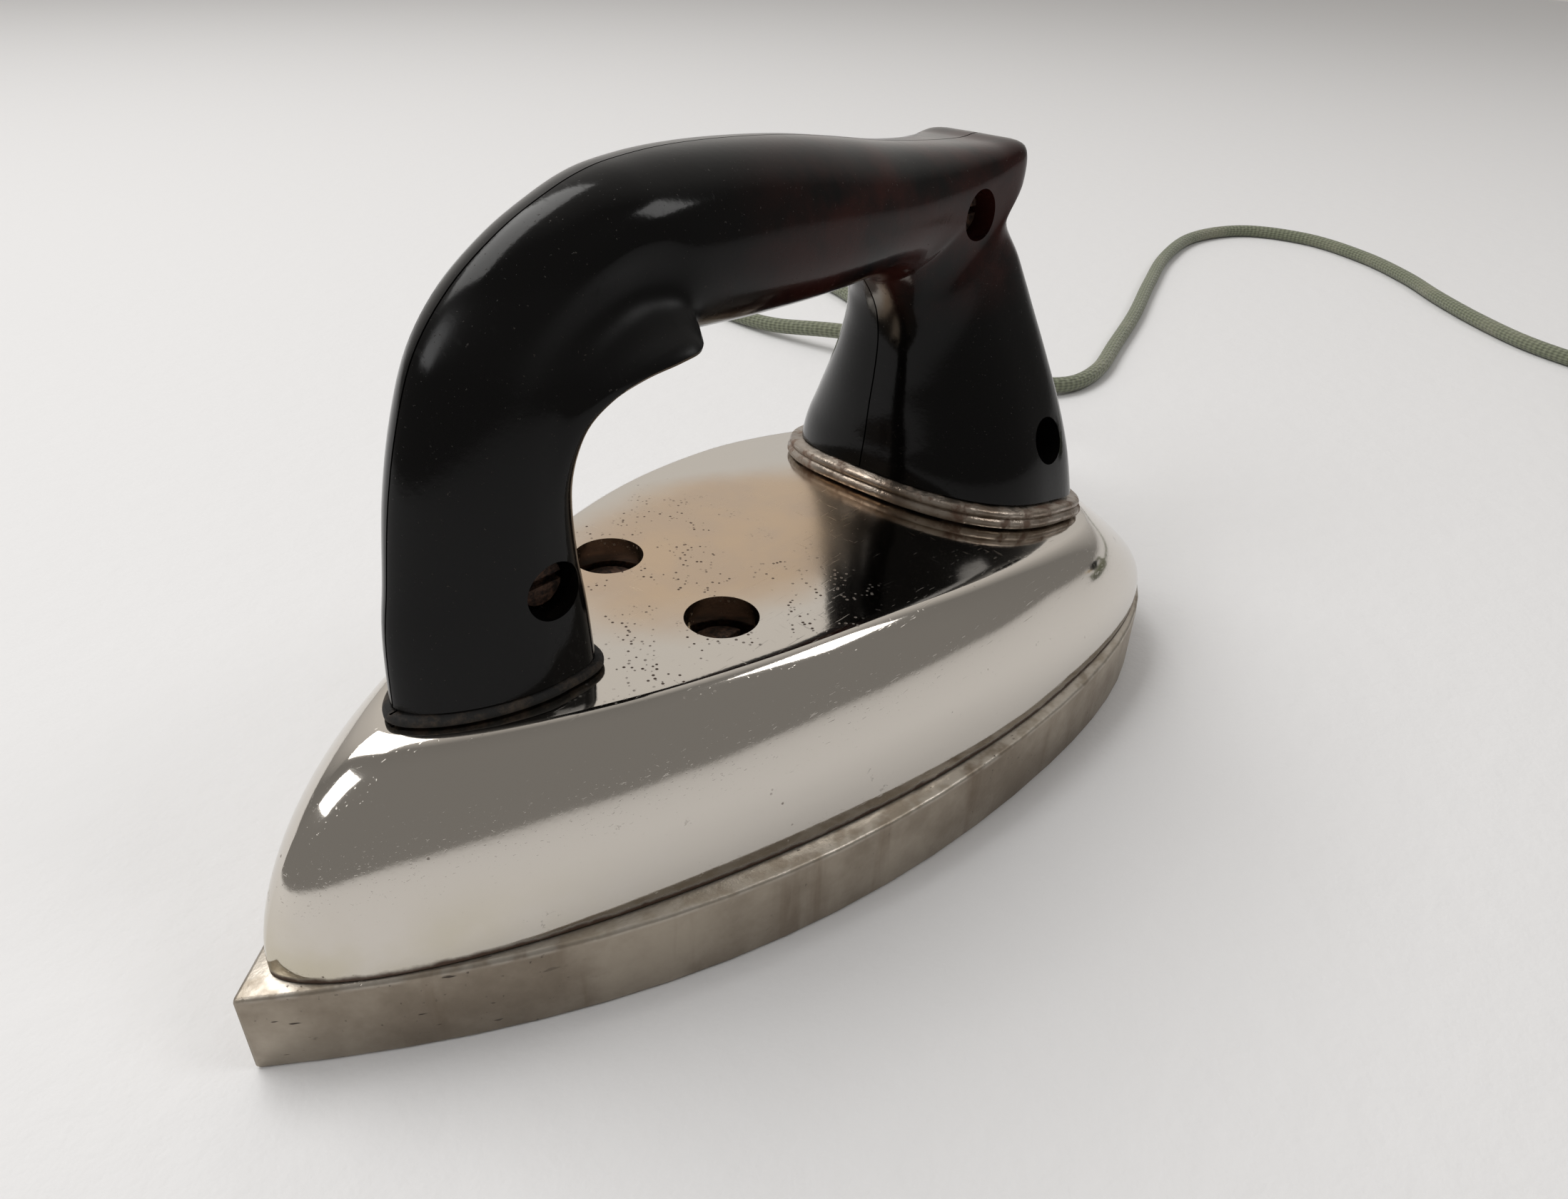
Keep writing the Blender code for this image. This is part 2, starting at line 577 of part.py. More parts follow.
def screw_tools(place, seat, name):
    """Cutters for a screw that crosses both halves, with a deep counterbore on each side."""
    x, z = at(place[0]), place[1]
    reach = SOLE_HALF_WIDTH
    bore = turned(name + "_bore", (x, -reach, z), (0, 1, 0),
                  [(0.0, SCREW_RADIUS + BORE_CLEARANCE), (2 * reach, SCREW_RADIUS + BORE_CLEARANCE)],
                  None, 16)
    wells = []
    for side, sign in (("left", -1), ("right", 1)):
        wells.append(turned(f"{name}_well_{side}", (x, sign * seat, z), (0, sign, 0),
                            [(0.0, COUNTERBORE_RADIUS), (reach, COUNTERBORE_RADIUS)], None, 24))
    return bore, wells


def handle_half(side, sign, tools):
    rings = [[(x, sign * y, z) for x, y, z in section(*s)] for s in stations()]
    half = loft(f"handle_{side}_half", rings, "bakelite")
    smooth(half)
    for tool in tools:
        combine(half, tool)


def seat_clearances():
    """What stays free under each foot: the shell with its gasket, and with its collar ring."""
    cutters = []
    half = SOLE_LENGTH / 2
    for name, sheet, front, back in (("front", GASKET_THICKNESS, -half, 0.0),
                                     ("rear", COLLAR_THICKNESS, 0.0, half)):
        cutter = shell_body(f"{name}_seat_clearance", -(sheet + 2 * GAP), SOLE_THICKNESS, None)
        combine(cutter, box(f"{name}_end", (front, -half, 0.0), (back, half, 2 * DECK), None),
                "INTERSECT")
        cutters.append(cutter)
    return cutters


def handle():
    shared = [*seat_clearances(), cavity(), front_slot(), sleeve_seat()]
    sides = {"left": list(shared), "right": list(shared)}
    for name, place, seat in handle_screws():
        bore, wells = screw_tools(place, seat, name)
        sides["left"] += [bore, wells[0]]
        sides["right"] += [bore, wells[1]]
    for side in ("left", "right"):
        x, y = rivet_places()["rear_" + side]
        pocket = circle(x, y, RIVET_HEAD_RADIUS + BORE_CLEARANCE)
        top = rivet_heights(x, y)[1] + RIVET_HEAD_HEIGHT + GAP
        sides[side].append(prism(f"rivet_pocket_{side}", pocket, FOOT_LOW - GAP, top, None))
    handle_half("left", -1, sides["left"])
    handle_half("right", 1, sides["right"])


def handle_screws():
    return [
        ("front", FRONT_SCREW, FRONT_SCREW_SEAT),
        ("rear_upper", UPPER_SCREW, UPPER_SCREW_SEAT),
        ("rear_lower", LOWER_SCREW, LOWER_SCREW_SEAT),
    ]


def fasten_handle():
    for name, place, seat in handle_screws():
        x, z = at(place[0]), place[1]
        head = seat + GAP
        nut_end = head + NUT_HEIGHT
        profile = [(-head - SCREW_HEAD_HEIGHT, SCREW_HEAD_RADIUS), (-head, SCREW_HEAD_RADIUS),
                   (-head, SCREW_RADIUS), (nut_end + GAP, SCREW_RADIUS)]
        screw = turned("handle_screw_" + name, (x, 0, z), (0, 1, 0), profile, "rusty", 16)
        low = (x - 2 * SCREW_HEAD_RADIUS, -head - 2 * SCREW_HEAD_HEIGHT, z - SLOT_WIDTH / 2)
        high = (x + 2 * SCREW_HEAD_RADIUS, -head - SCREW_HEAD_HEIGHT / 2, z + SLOT_WIDTH / 2)
        combine(screw, box(screw.name + "_slot", low, high, None))
        nut = turned("handle_nut_" + name, (x, head, z), (0, 1, 0),
                     [(0.0, SCREW_HEAD_RADIUS), (NUT_HEIGHT, SCREW_HEAD_RADIUS)], "steel", 6)
        bore = [(-NUT_HEIGHT, SCREW_RADIUS + BORE_CLEARANCE),
                (2 * NUT_HEIGHT, SCREW_RADIUS + BORE_CLEARANCE)]
        combine(nut, turned(nut.name + "_bore", (x, head, z), (0, 1, 0), bore, None, 16))


def foot_outline(outer, inner, half_width, shape, border):
    """The whole outline of a handle foot, grown by a border."""
    grow = border if inner > outer else -border
    ring = section((outer - grow, 0.0), (inner + grow, 0.0), half_width + border, *shape)
    left = [(x, -y) for x, y, _ in ring]
    right = [(x, y) for x, y, _ in reversed(ring)]
    return left + right


def front_gasket():
    """A fibre sheet under the front foot, on the flat part of the deck."""
    low = DECK + GAP
    outline = foot_outline(FRONT_FOOT_FRONT, FRONT_FOOT_BACK, FRONT_FOOT_HALF_WIDTH,
                           FRONT_FOOT_SHAPE, GASKET_BORDER)
    seat = prism("front_seat_gasket", outline, low, low + GASKET_THICKNESS, "fibre")
    half = TAB_THICKNESS / 2 + BORE_CLEARANCE
    length = TAB_HALF_LENGTH + BORE_CLEARANCE
    x = at(FRONT_SCREW[0])
    combine(seat, box("gasket_slot", (x - length, -half, FOOT_LOW), (x + length, half, 2 * DECK),
                      None))
    rivet_x, rivet_y = rivet_places()["front"]
    drill(seat, rivet_x, rivet_y, RIVET_HEAD_RADIUS + BORE_CLEARANCE, FOOT_LOW, 2 * DECK)


def collar_ring():
    """A ring round the rear foot that follows the shell below it."""
    low, high = FOOT_LOW - COLLAR_THICKNESS, DECK + 2 * COLLAR_THICKNESS
    foot = (REAR_FOOT_BACK, REAR_FOOT_FRONT, REAR_FOOT_HALF_WIDTH, REAR_FOOT_SHAPE)
    ring = prism("rear_collar_ring", foot_outline(*foot, COLLAR_BORDER), low, high, "nickel")
    combine(ring, shell_body("collar_under", -GAP, SOLE_THICKNESS, None))
    combine(ring, shell_body("collar_over", -(GAP + COLLAR_THICKNESS), SOLE_THICKNESS, None),
            "INTERSECT")
    combine(ring, prism("collar_inside", foot_outline(*foot, COLLAR_BORDER - COLLAR_WIDTH),
                        low - GAP, high + GAP, None))


# ---------------------------------------------------------------- brackets
def rivet_places():
    front = at(FRONT_SCREW[0]) - TAB_HALF_LENGTH - BRACKET_FOOT_LENGTH / 2
    rear = at(LOWER_SCREW[0])
    side = CAVITY_HALF_WIDTH + RIVET_FROM_CAVITY
    return {"front": (front, 0.0), "rear_left": (rear, -side), "rear_right": (rear, side)}


def under_deck(x, y):
    """The highest that a bracket's foot may reach below the shell."""
    return DECK - deck_fall(x, y) - SHELL_WALL - 2 * GAP


def bracket_foot(name, low_x, high_x, half_y):
    """The bracket's foot, a strip pressed to the shape of the deck over it."""
    rings = []
    for i in range(9):
        y = half_y * (i / 4 - 1)
        front, back = under_deck(low_x, y), under_deck(high_x, y)
        rings.append([(low_x, y, front - BRACKET_FOOT_THICKNESS),
                      (high_x, y, back - BRACKET_FOOT_THICKNESS),
                      (high_x, y, back), (low_x, y, front)])
    return loft(name, rings, None)


def bracket(name, screw, low_x, high_x, half_y, rivets):
    """An upright steel tab between the halves, with a foot riveted under the deck."""
    x, z = at(screw[0]), screw[1]
    half = TAB_THICKNESS / 2
    low = under_deck(high_x, 0.0) - BRACKET_FOOT_THICKNESS + GAP
    tab = box(name, (x - TAB_HALF_LENGTH, -half, low),
              (x + TAB_HALF_LENGTH, half, z + TAB_ABOVE_SCREW), "steel")
    combine(tab, bracket_foot(name + "_foot", low_x, high_x, half_y), "UNION")
    reach = [(-TAB_THICKNESS, SCREW_RADIUS + BORE_CLEARANCE),
             (TAB_THICKNESS, SCREW_RADIUS + BORE_CLEARANCE)]
    combine(tab, turned(name + "_screw_hole", (x, 0, z), (0, 1, 0), reach, None, 16))
    for rivet_x, rivet_y in rivets:
        drill(tab, rivet_x, rivet_y, RIVET_RADIUS + BORE_CLEARANCE, CUP_BOTTOM - SHELL_WALL, DECK)


def rivet_heights(x, y):
    """Where a rivet's heads start, clear of the sloping deck and of the bracket's foot under it."""
    reach = RIVET_HEAD_RADIUS
    near = [deck_fall(x + a * reach, y + b * reach) for a in (-1, 0, 1) for b in (-1, 0, 1)]
    high = DECK - min(near) + GAP
    low = DECK - max(near) - SHELL_WALL - 2 * GAP - BRACKET_FOOT_THICKNESS - GAP
    return low, high


def rivet(name, x, y):
    low, high = rivet_heights(x, y)
    profile = [(low - RIVET_HEAD_HEIGHT, RIVET_HEAD_RADIUS), (low, RIVET_HEAD_RADIUS),
               (low, RIVET_RADIUS), (high, RIVET_RADIUS), (high, RIVET_HEAD_RADIUS),
               (high + RIVET_HEAD_HEIGHT, RIVET_HEAD_RADIUS)]
    turned(name, (x, y, 0), (0, 0, 1), profile, "steel", 14)


def brackets():
    places = rivet_places()
    front, rear = at(FRONT_SCREW[0]), at(LOWER_SCREW[0])
    length = TAB_HALF_LENGTH
    bracket("front_bracket", FRONT_SCREW, front - length - BRACKET_FOOT_LENGTH, front + length,
            BRACKET_FOOT_HALF_WIDTH, [places["front"]])
    bracket("rear_bracket", LOWER_SCREW, rear - length, rear + length,
            places["rear_right"][1] + BRACKET_FOOT_EDGE,
            [places["rear_left"], places["rear_right"]])
    for name, (x, y) in places.items():
        rivet(f"{name}_bracket_rivet", x, y)


# ---------------------------------------------------------------- electrics
def terminals():
    front = at(CAVITY_FRONT) + 3 * GAP
    back = front + BLOCK_SIZE[0]
    low = FOOT_BOTTOM + GAP
    high = low + BLOCK_SIZE[2]
    half = BLOCK_SIZE[1] / 2
    block = box("terminal_block", (front, -half, low), (back, half, high), "porcelain")
    for number, y in ((1, -TERMINAL_HALF_SPACING), (2, TERMINAL_HALF_SPACING)):
        radius = TERMINAL_SCREW_RADIUS
        drill(block, (front + back) / 2, y, radius + BORE_CLEARANCE, (low + high) / 2,
              high + radius)
        profile = [((low + high) / 2 + GAP, radius), (high + GAP, radius),
                   (high + GAP, TERMINAL_HEAD_RADIUS),
                   (high + GAP + TERMINAL_HEAD_RADIUS, TERMINAL_HEAD_RADIUS)]
        turned(f"terminal_screw_{number}", ((front + back) / 2, y, 0), (0, 0, 1), profile,
               "brass", 14)


def wire(name, points, radius, kind):
    """A round wire along a path of points."""
    curve = bpy.data.curves.new(name, "CURVE")
    curve.dimensions = "3D"
    curve.bevel_depth = radius
    curve.bevel_resolution = 2
    curve.use_fill_caps = True
    line = curve.splines.new("POLY")
    line.points.add(len(points) - 1)
    for spot, point in zip(line.points, points):
        spot.co = (*point, 1.0)
    made = bpy.data.objects.new(name, curve)
    bpy.context.scene.collection.objects.link(made)
    finish(made, kind)


def element_leads():
    for number, sign in ((1, -1), (2, 1)):
        y = sign * TERMINAL_HALF_SPACING
        foot = at(ELEMENT_HEEL) - ELEMENT_INSET / 2
        block = at(CAVITY_FRONT) + 3 * GAP + BLOCK_SIZE[0] / 2
        route = [
            (foot, y, ELEMENT + ELEMENT_THICKNESS + GAP),
            (foot, y, DECK - 0.016),
            (foot - 0.004, y, DECK - 0.0125),
            (block + 0.009, y, DECK - 0.0125),
            (block + 0.002, y, DECK - 0.009),
            (block, y, DECK - 0.003),
            (block, y, FOOT_BOTTOM),
        ]
        wire(f"element_lead_{number}", route, LEAD_RADIUS, "resistance")


# ---------------------------------------------------------------- cord
def sleeve_frame():
    """Where the sleeve leaves the rear foot, on the seam, and which way it points."""
    level = math.cos(SLEEVE_SLOPE)
    axis = Vector((level * math.cos(SLEEVE_YAW), level * math.sin(SLEEVE_YAW),
                   -math.sin(SLEEVE_SLOPE)))
    return Vector((at(SLEEVE_FROM_NOSE), 0.0, SLEEVE_HEIGHT)), axis


def sleeve_seat():
    root, axis = sleeve_frame()
    clear = BORE_CLEARANCE
    neck = SLEEVE_NECK_RADIUS + clear
    profile = [(-SLEEVE_INSIDE, neck), (SLEEVE_COLLAR + clear, neck),
               (SLEEVE_COLLAR + clear, SLEEVE_ROOT_RADIUS + clear),
               (SLEEVE_LENGTH, SLEEVE_ROOT_RADIUS + clear)]
    return turned("sleeve_seat", root, axis, profile, None, 24)


def cord_sleeve():
    root, axis = sleeve_frame()
    step = SLEEVE_COLLAR + 2 * GAP
    profile = [(-SLEEVE_INSIDE + GAP, SLEEVE_NECK_RADIUS), (step, SLEEVE_NECK_RADIUS),
               (step, SLEEVE_ROOT_RADIUS), (2 * step, SLEEVE_ROOT_RADIUS),
               (SLEEVE_COLLAR + SLEEVE_LENGTH, SLEEVE_TIP_RADIUS)]
    smooth(turned("cord_sleeve", root, axis, profile, "rubber", 20))


def cord_start():
    root, axis = sleeve_frame()
    return root + axis * (SLEEVE_COLLAR + SLEEVE_LENGTH + GAP), axis


# The cord's route on the floor, from the nose along x, across y, and above the floor z.
CORD_ROUTE = [
    (0.2215, 0.0268, 0.0580),
    (0.2310, 0.0350, 0.0450),
    (0.2400, 0.0432, 0.0270),
    (0.2500, 0.0520, 0.0115),
    (0.2630, 0.0640, 0.0038),
    (0.2790, 0.0800, 0.0028),
    (0.2970, 0.1000, 0.0028),
    (0.3150, 0.1240, 0.0028),
    (0.3310, 0.1510, 0.0028),
    (0.3430, 0.1780, 0.0028),
    (0.3458, 0.2010, 0.0028),
    (0.3365, 0.2200, 0.0028),
    (0.3170, 0.2280, 0.0028),
    (0.2975, 0.2200, 0.0028),
    (0.2878, 0.2010, 0.0028),
    (0.2845, 0.1790, 0.0029),
    (0.2840, 0.1580, 0.0040),
    (0.2870, 0.1330, 0.0075),
    (0.2920, 0.1080, 0.0096),
    (0.2950, 0.0860, 0.0092),
    (0.2968, 0.0715, 0.0072),
    (0.3000, 0.0600, 0.0050),
    (0.3072, 0.0512, 0.0036),
    (0.3190, 0.0468, 0.0029),
    (0.3370, 0.0480, 0.0028),
    (0.3640, 0.0560, 0.0028),
    (0.4040, 0.0680, 0.0028),
    (0.4500, 0.0840, 0.0028),
    (0.4980, 0.0990, 0.0028),
    (0.5430, 0.1050, 0.0028),
    (0.5760, 0.0920, 0.0028),
    (0.5840, 0.0620, 0.0028),
    (0.5700, 0.0300, 0.0028),
    (0.5480, 0.0040, 0.0028),
    (0.5250, -0.0160, 0.0028),
    (0.5030, -0.0380, 0.0028),
    (0.4860, -0.0600, 0.0028),
    (0.4765, -0.0840, 0.0028),
]


def smooth_route(points, step):
    """Evenly spaced points on a Catmull-Rom curve through the route's points."""
    path = [2 * points[0] - points[1], *points, 2 * points[-1] - points[-2]]
    fine = []
    for k in range(1, len(path) - 2):
        a, b, c, d = path[k - 1:k + 3]
        for i in range(24):
            t = i / 24
            fine.append(0.5 * (2 * b + (c - a) * t + (2 * a - 5 * b + 4 * c - d) * t**2
                               + (3 * b - a - 3 * c + d) * t**3))
    fine.append(points[-1])
    total = sum((q - p).length for p, q in zip(fine, fine[1:]))
    count = max(2, round(total / step))
    even, walked, target = [fine[0]], 0.0, total / count
    for p, q in zip(fine, fine[1:]):
        length = (q - p).length
        while walked + length >= target - 1e-9 and len(even) < count:
            even.append(p.lerp(q, (target - walked) / length))
            target += total / count
        walked += length
    even.append(fine[-1])
    return even


def cord_lead():
    start, axis = cord_start()
    route = [start, start + 0.012 * axis]
    route += [Vector((at(x), y, z)) for x, y, z in CORD_ROUTE]
    route.append(coil_entry())
    wire("cord_lead", smooth_route(route, CORD_STEP), CORD_DIAMETER / 2, "braid")


def coil_centre():
    return Vector((at(COIL_CENTRE[0]), COIL_CENTRE[1], 0.0))


def coil_entry():
    """Where the lead meets the ring, running along y at the middle of the outer turn."""
    outer_turn = COIL_MID_RADIUS + CORD_DIAMETER / 2
    wall = COIL_MID_RADIUS + COIL_ROWS * CORD_DIAMETER / 2 + GAP
    back = math.sqrt(wall**2 - (outer_turn - CORD_DIAMETER / 2) ** 2)
    low = CORD_OVER_FLOOR + CORD_DIAMETER / 2
    return coil_centre() + Vector((outer_turn, back, low))


def cord_coil():
    """The outer shape of the wound turns: a ring with rounded corners."""
    centre = coil_centre()
    half = COIL_ROWS * CORD_DIAMETER / 2
    inner, outer = COIL_MID_RADIUS - half, COIL_MID_RADIUS + half
    low, high = CORD_OVER_FLOOR, CORD_OVER_FLOOR + COIL_ROWS * CORD_DIAMETER
    cut = CORD_DIAMETER / 4
    profile = [(outer - cut, low), (outer, low + cut), (outer, high - cut), (outer - cut, high),
               (inner + cut, high), (inner, high - cut), (inner, low + cut), (inner + cut, low)]
    count = 36
    points, faces = [], []
    for i in range(count):
        angle = 2 * math.pi * i / count
        for radius, z in profile:
            points.append((centre.x + radius * math.cos(angle),
                           centre.y + radius * math.sin(angle), z))
    size = len(profile)
    for i in range(count):
        for k in range(size):
            here, there = i * size, (i + 1) % count * size
            m = (k + 1) % size
            faces.append((here + k, there + k, there + m, here + m))
    if signed_volume(points, faces) < 0:
        faces = [tuple(reversed(f)) for f in faces]
    mesh_object("cord_coil", points, faces, "braid")


def coil_tie():
    """A band round the wound turns."""
    centre = coil_centre()
    half = COIL_ROWS * CORD_DIAMETER / 2
    high = CORD_OVER_FLOOR + COIL_ROWS * CORD_DIAMETER
    inner, outer = COIL_MID_RADIUS - half, COIL_MID_RADIUS + half
    thick = TIE_THICKNESS
    x = centre.x
    outside = box("coil_tie", (x - TIE_WIDTH / 2, centre.y - outer - thick - GAP, CORD_OVER_FLOOR),
                  (x + TIE_WIDTH / 2, centre.y - inner + thick + GAP, high + GAP + thick), "braid")
    inside = box("coil_tie_inside", (x - TIE_WIDTH, centre.y - outer - 2 * GAP, -thick),
                 (x + TIE_WIDTH, centre.y - inner + 2 * GAP, high + GAP), None)
    combine(outside, inside)


def on_coil(angle, height):
    """A place over the middle of the coil's turns."""
    return coil_centre() + Vector((COIL_MID_RADIUS * math.cos(angle),
                                   COIL_MID_RADIUS * math.sin(angle), height))


def plug_frame():
    """The middle of the plug's back end, lying on the coil, and the way its pins point."""
    top = CORD_OVER_FLOOR + COIL_ROWS * CORD_DIAMETER + GAP
    axis = Vector((math.sin(PLUG_TURN), -math.cos(PLUG_TURN), 0))
    return on_coil(PLUG_TURN, top + PLUG_RADIUS * PLUG_FLATNESS), axis


def across_plug():
    return Vector((0, 0, 1)).cross(plug_frame()[1])


def plug():
    back, axis = plug_frame()
    for side, sign in (("lower", -1), ("upper", 1)):
        rings = []
        for along, share in PLUG_PROFILE:
            radius = PLUG_RADIUS * share
            centre = back + along * PLUG_LENGTH * axis
            ring = []
            for i in range(9):
                angle = math.pi * i / 8
                height = sign * (PLUG_FLATNESS * radius * math.sin(angle) + SEAM_GAP / 2)
                ring.append(centre + radius * math.cos(angle) * across_plug()
                            + Vector((0, 0, height)))
            rings.append(ring)
        half = loft("plug_half_" + side, rings, "bakelite")
        smooth(half)
        for number, place in plug_pin_places():
            radius = PLUG_PIN_RADIUS + BORE_CLEARANCE
            combine(half, turned(f"pin_seat_{side}_{number}", place, axis,
                                 [(-GAP, radius), (PLUG_LENGTH, radius)], None, 16))
        combine(half, plug_screw_tool(side))


def plug_pin_places():
    back, axis = plug_frame()
    root = back + axis * (PLUG_LENGTH - PLUG_PIN_INSIDE)
    return [(number, root + sign * PLUG_PIN_HALF_SPACING * across_plug())
            for number, sign in ((1, -1), (2, 1))]


def plug_screw_place():
    back, axis = plug_frame()
    return back + axis * (PLUG_LENGTH * PLUG_SCREW_SHARE)


def plug_screw_tool(side):
    shank = PLUG_SCREW_RADIUS + BORE_CLEARANCE
    head = PLUG_SCREW_HEAD_RADIUS + BORE_CLEARANCE
    profile = [(-PLUG_RADIUS, shank), (PLUG_SCREW_SEAT, shank), (PLUG_SCREW_SEAT, head),
               (PLUG_RADIUS, head)]
    return turned(f"plug_screw_seat_{side}", plug_screw_place(), (0, 0, 1), profile, None, 16)


def plug_metal():
    axis = plug_frame()[1]
    tip = PLUG_PIN_INSIDE + PLUG_PIN_LENGTH
    for number, place in plug_pin_places():
        profile = [(0.0, PLUG_PIN_RADIUS), (tip - PLUG_PIN_RADIUS / 2, PLUG_PIN_RADIUS),
                   (tip, PLUG_PIN_RADIUS / 2)]
        smooth(turned(f"plug_pin_{number}", place, axis, profile, "brass", 16))
    head = PLUG_SCREW_SEAT + GAP
    profile = [(-PLUG_SCREW_SEAT, PLUG_SCREW_RADIUS), (head, PLUG_SCREW_RADIUS),
               (head, PLUG_SCREW_HEAD_RADIUS), (head + PLUG_SCREW_RADIUS, PLUG_SCREW_HEAD_RADIUS)]
    turned("plug_screw", plug_screw_place(), (0, 0, 1), profile, "steel", 14)


def cord_tail():
    """The end of the cord: an arc over the top of the coil, rising into the back of the plug."""
    back, axis = plug_frame()
    low = CORD_OVER_FLOOR + COIL_ROWS * CORD_DIAMETER + GAP + CORD_DIAMETER / 2
    route = []
    for i in range(TAIL_STEPS):
        share = i / TAIL_STEPS
        height = low + (back.z - low) * share**2 * (3 - 2 * share)
        route.append(on_coil(TAIL_START + share * (PLUG_TURN - TAIL_START), height))
    route.append(back - axis * 2 * GAP)
    wire("cord_tail", smooth_route(route, CORD_DIAMETER), CORD_DIAMETER / 2, "braid")


def main():
    for thing in list(bpy.data.objects):
        bpy.data.objects.remove(thing, do_unlink=True)
    soleplate()
    heater()
    stud_set()
    shell()
    handle()
    fasten_handle()
    front_gasket()
    collar_ring()
    brackets()
    terminals()
    element_leads()
    cord_sleeve()
    cord_lead()
    cord_coil()
    coil_tie()
    plug()
    plug_metal()
    cord_tail()


main()
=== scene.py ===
"""The looks of an old domestic dry iron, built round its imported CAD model."""

import math

import bpy
from mathutils import Matrix, Vector


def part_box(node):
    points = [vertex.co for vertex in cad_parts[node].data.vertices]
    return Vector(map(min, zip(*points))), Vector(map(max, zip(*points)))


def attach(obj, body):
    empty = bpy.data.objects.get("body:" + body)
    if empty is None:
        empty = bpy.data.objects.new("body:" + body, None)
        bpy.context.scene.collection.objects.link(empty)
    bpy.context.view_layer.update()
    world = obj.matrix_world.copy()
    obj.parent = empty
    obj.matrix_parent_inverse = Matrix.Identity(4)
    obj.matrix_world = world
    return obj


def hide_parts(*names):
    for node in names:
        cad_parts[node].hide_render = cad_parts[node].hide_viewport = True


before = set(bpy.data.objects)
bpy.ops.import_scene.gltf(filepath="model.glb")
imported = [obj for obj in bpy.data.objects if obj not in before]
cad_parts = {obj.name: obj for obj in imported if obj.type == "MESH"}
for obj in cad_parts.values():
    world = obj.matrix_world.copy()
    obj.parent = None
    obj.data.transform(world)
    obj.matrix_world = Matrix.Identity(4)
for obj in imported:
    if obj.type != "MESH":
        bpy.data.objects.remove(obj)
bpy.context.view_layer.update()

# ---------------------------------------------------------------- camera
# The viewer stands at the iron's front left and looks down on it. The view is a wide one from
# close by, so the camera's place and turn are both set, with a slight roll.
CAMERA_PLACE = (-0.128303, -0.117138, 0.142959)
CAMERA_AZIMUTH = math.radians(-49.27172)
CAMERA_ELEVATION = math.radians(32.55095)
CAMERA_ROLL = math.radians(1.97072)

backward = Vector((math.sin(CAMERA_AZIMUTH) * math.cos(CAMERA_ELEVATION),
                   -math.cos(CAMERA_AZIMUTH) * math.cos(CAMERA_ELEVATION),
                   math.sin(CAMERA_ELEVATION)))
level_right = Vector((math.cos(CAMERA_AZIMUTH), math.sin(CAMERA_AZIMUTH), 0.0))
level_up = backward.cross(level_right)
right = level_right * math.cos(CAMERA_ROLL) + level_up * math.sin(CAMERA_ROLL)
upward = level_up * math.cos(CAMERA_ROLL) - level_right * math.sin(CAMERA_ROLL)
camera_data = bpy.data.cameras.new("camera")
camera_data.sensor_width = 36.0
camera_data.lens = 25.315
camera_data.clip_start = 0.01
camera = bpy.data.objects.new("camera", camera_data)
bpy.context.scene.collection.objects.link(camera)
turn = Matrix((right, upward, backward)).transposed().to_4x4()
camera.matrix_world = Matrix.Translation(CAMERA_PLACE) @ turn
bpy.context.scene.camera = camera

# ---------------------------------------------------------------- braided cord
# A round rubber cable in an olive cotton braid. It leaves the rubber sleeve at the back of the
# handle, lies in a loose loop on the table, and its spare length is wound up and tied.
CORD_DIAMETER = 0.0055
CORD_OVER_FLOOR = 0.00005
GAP = 0.0003
NOSE_TO_MIDDLE = 0.104
SLEEVE_SLOPE = math.radians(12.0)
SLEEVE_YAW = math.radians(25.0)
SLEEVE_ROOT = Vector((0.1676 - NOSE_TO_MIDDLE, 0.0, 0.0740))
SLEEVE_REACH = 0.036
COIL_CENTRE = Vector((0.4400 - NOSE_TO_MIDDLE, -0.1300, 0.0))
COIL_MID_RADIUS = 0.0300
COIL_ROWS = 2
TURNS_PER_LAYER = 1.0833  # each layer ends a little further round
PLUG_TURN = math.radians(18.0)
PLUG_HALF_HEIGHT = 0.0137 * 0.66
# from the nose along x, across y, and above the table z
CORD_ROUTE = [
    (0.2215, 0.0268, 0.0580),
    (0.2310, 0.0350, 0.0450),
    (0.2400, 0.0432, 0.0270),
    (0.2500, 0.0520, 0.0115),
    (0.2630, 0.0640, 0.0038),
    (0.2790, 0.0800, 0.0028),
    (0.2970, 0.1000, 0.0028),
    (0.3150, 0.1240, 0.0028),
    (0.3310, 0.1510, 0.0028),
    (0.3430, 0.1780, 0.0028),
    (0.3458, 0.2010, 0.0028),
    (0.3365, 0.2200, 0.0028),
    (0.3170, 0.2280, 0.0028),
    (0.2975, 0.2200, 0.0028),
    (0.2878, 0.2010, 0.0028),
    (0.2845, 0.1790, 0.0029),
    (0.2840, 0.1580, 0.0040),
    (0.2870, 0.1330, 0.0075),
    (0.2920, 0.1080, 0.0096),
    (0.2950, 0.0860, 0.0092),
    (0.2968, 0.0715, 0.0072),
    (0.3000, 0.0600, 0.0050),
    (0.3072, 0.0512, 0.0036),
    (0.3190, 0.0468, 0.0029),
    (0.3370, 0.0480, 0.0028),
    (0.3640, 0.0560, 0.0028),
    (0.4040, 0.0680, 0.0028),
    (0.4500, 0.0840, 0.0028),
    (0.4980, 0.0990, 0.0028),
    (0.5430, 0.1050, 0.0028),
    (0.5760, 0.0920, 0.0028),
    (0.5840, 0.0620, 0.0028),
    (0.5700, 0.0300, 0.0028),
    (0.5480, 0.0040, 0.0028),
    (0.5250, -0.0160, 0.0028),
    (0.5030, -0.0380, 0.0028),
    (0.4860, -0.0600, 0.0028),
    (0.4765, -0.0840, 0.0028),
]


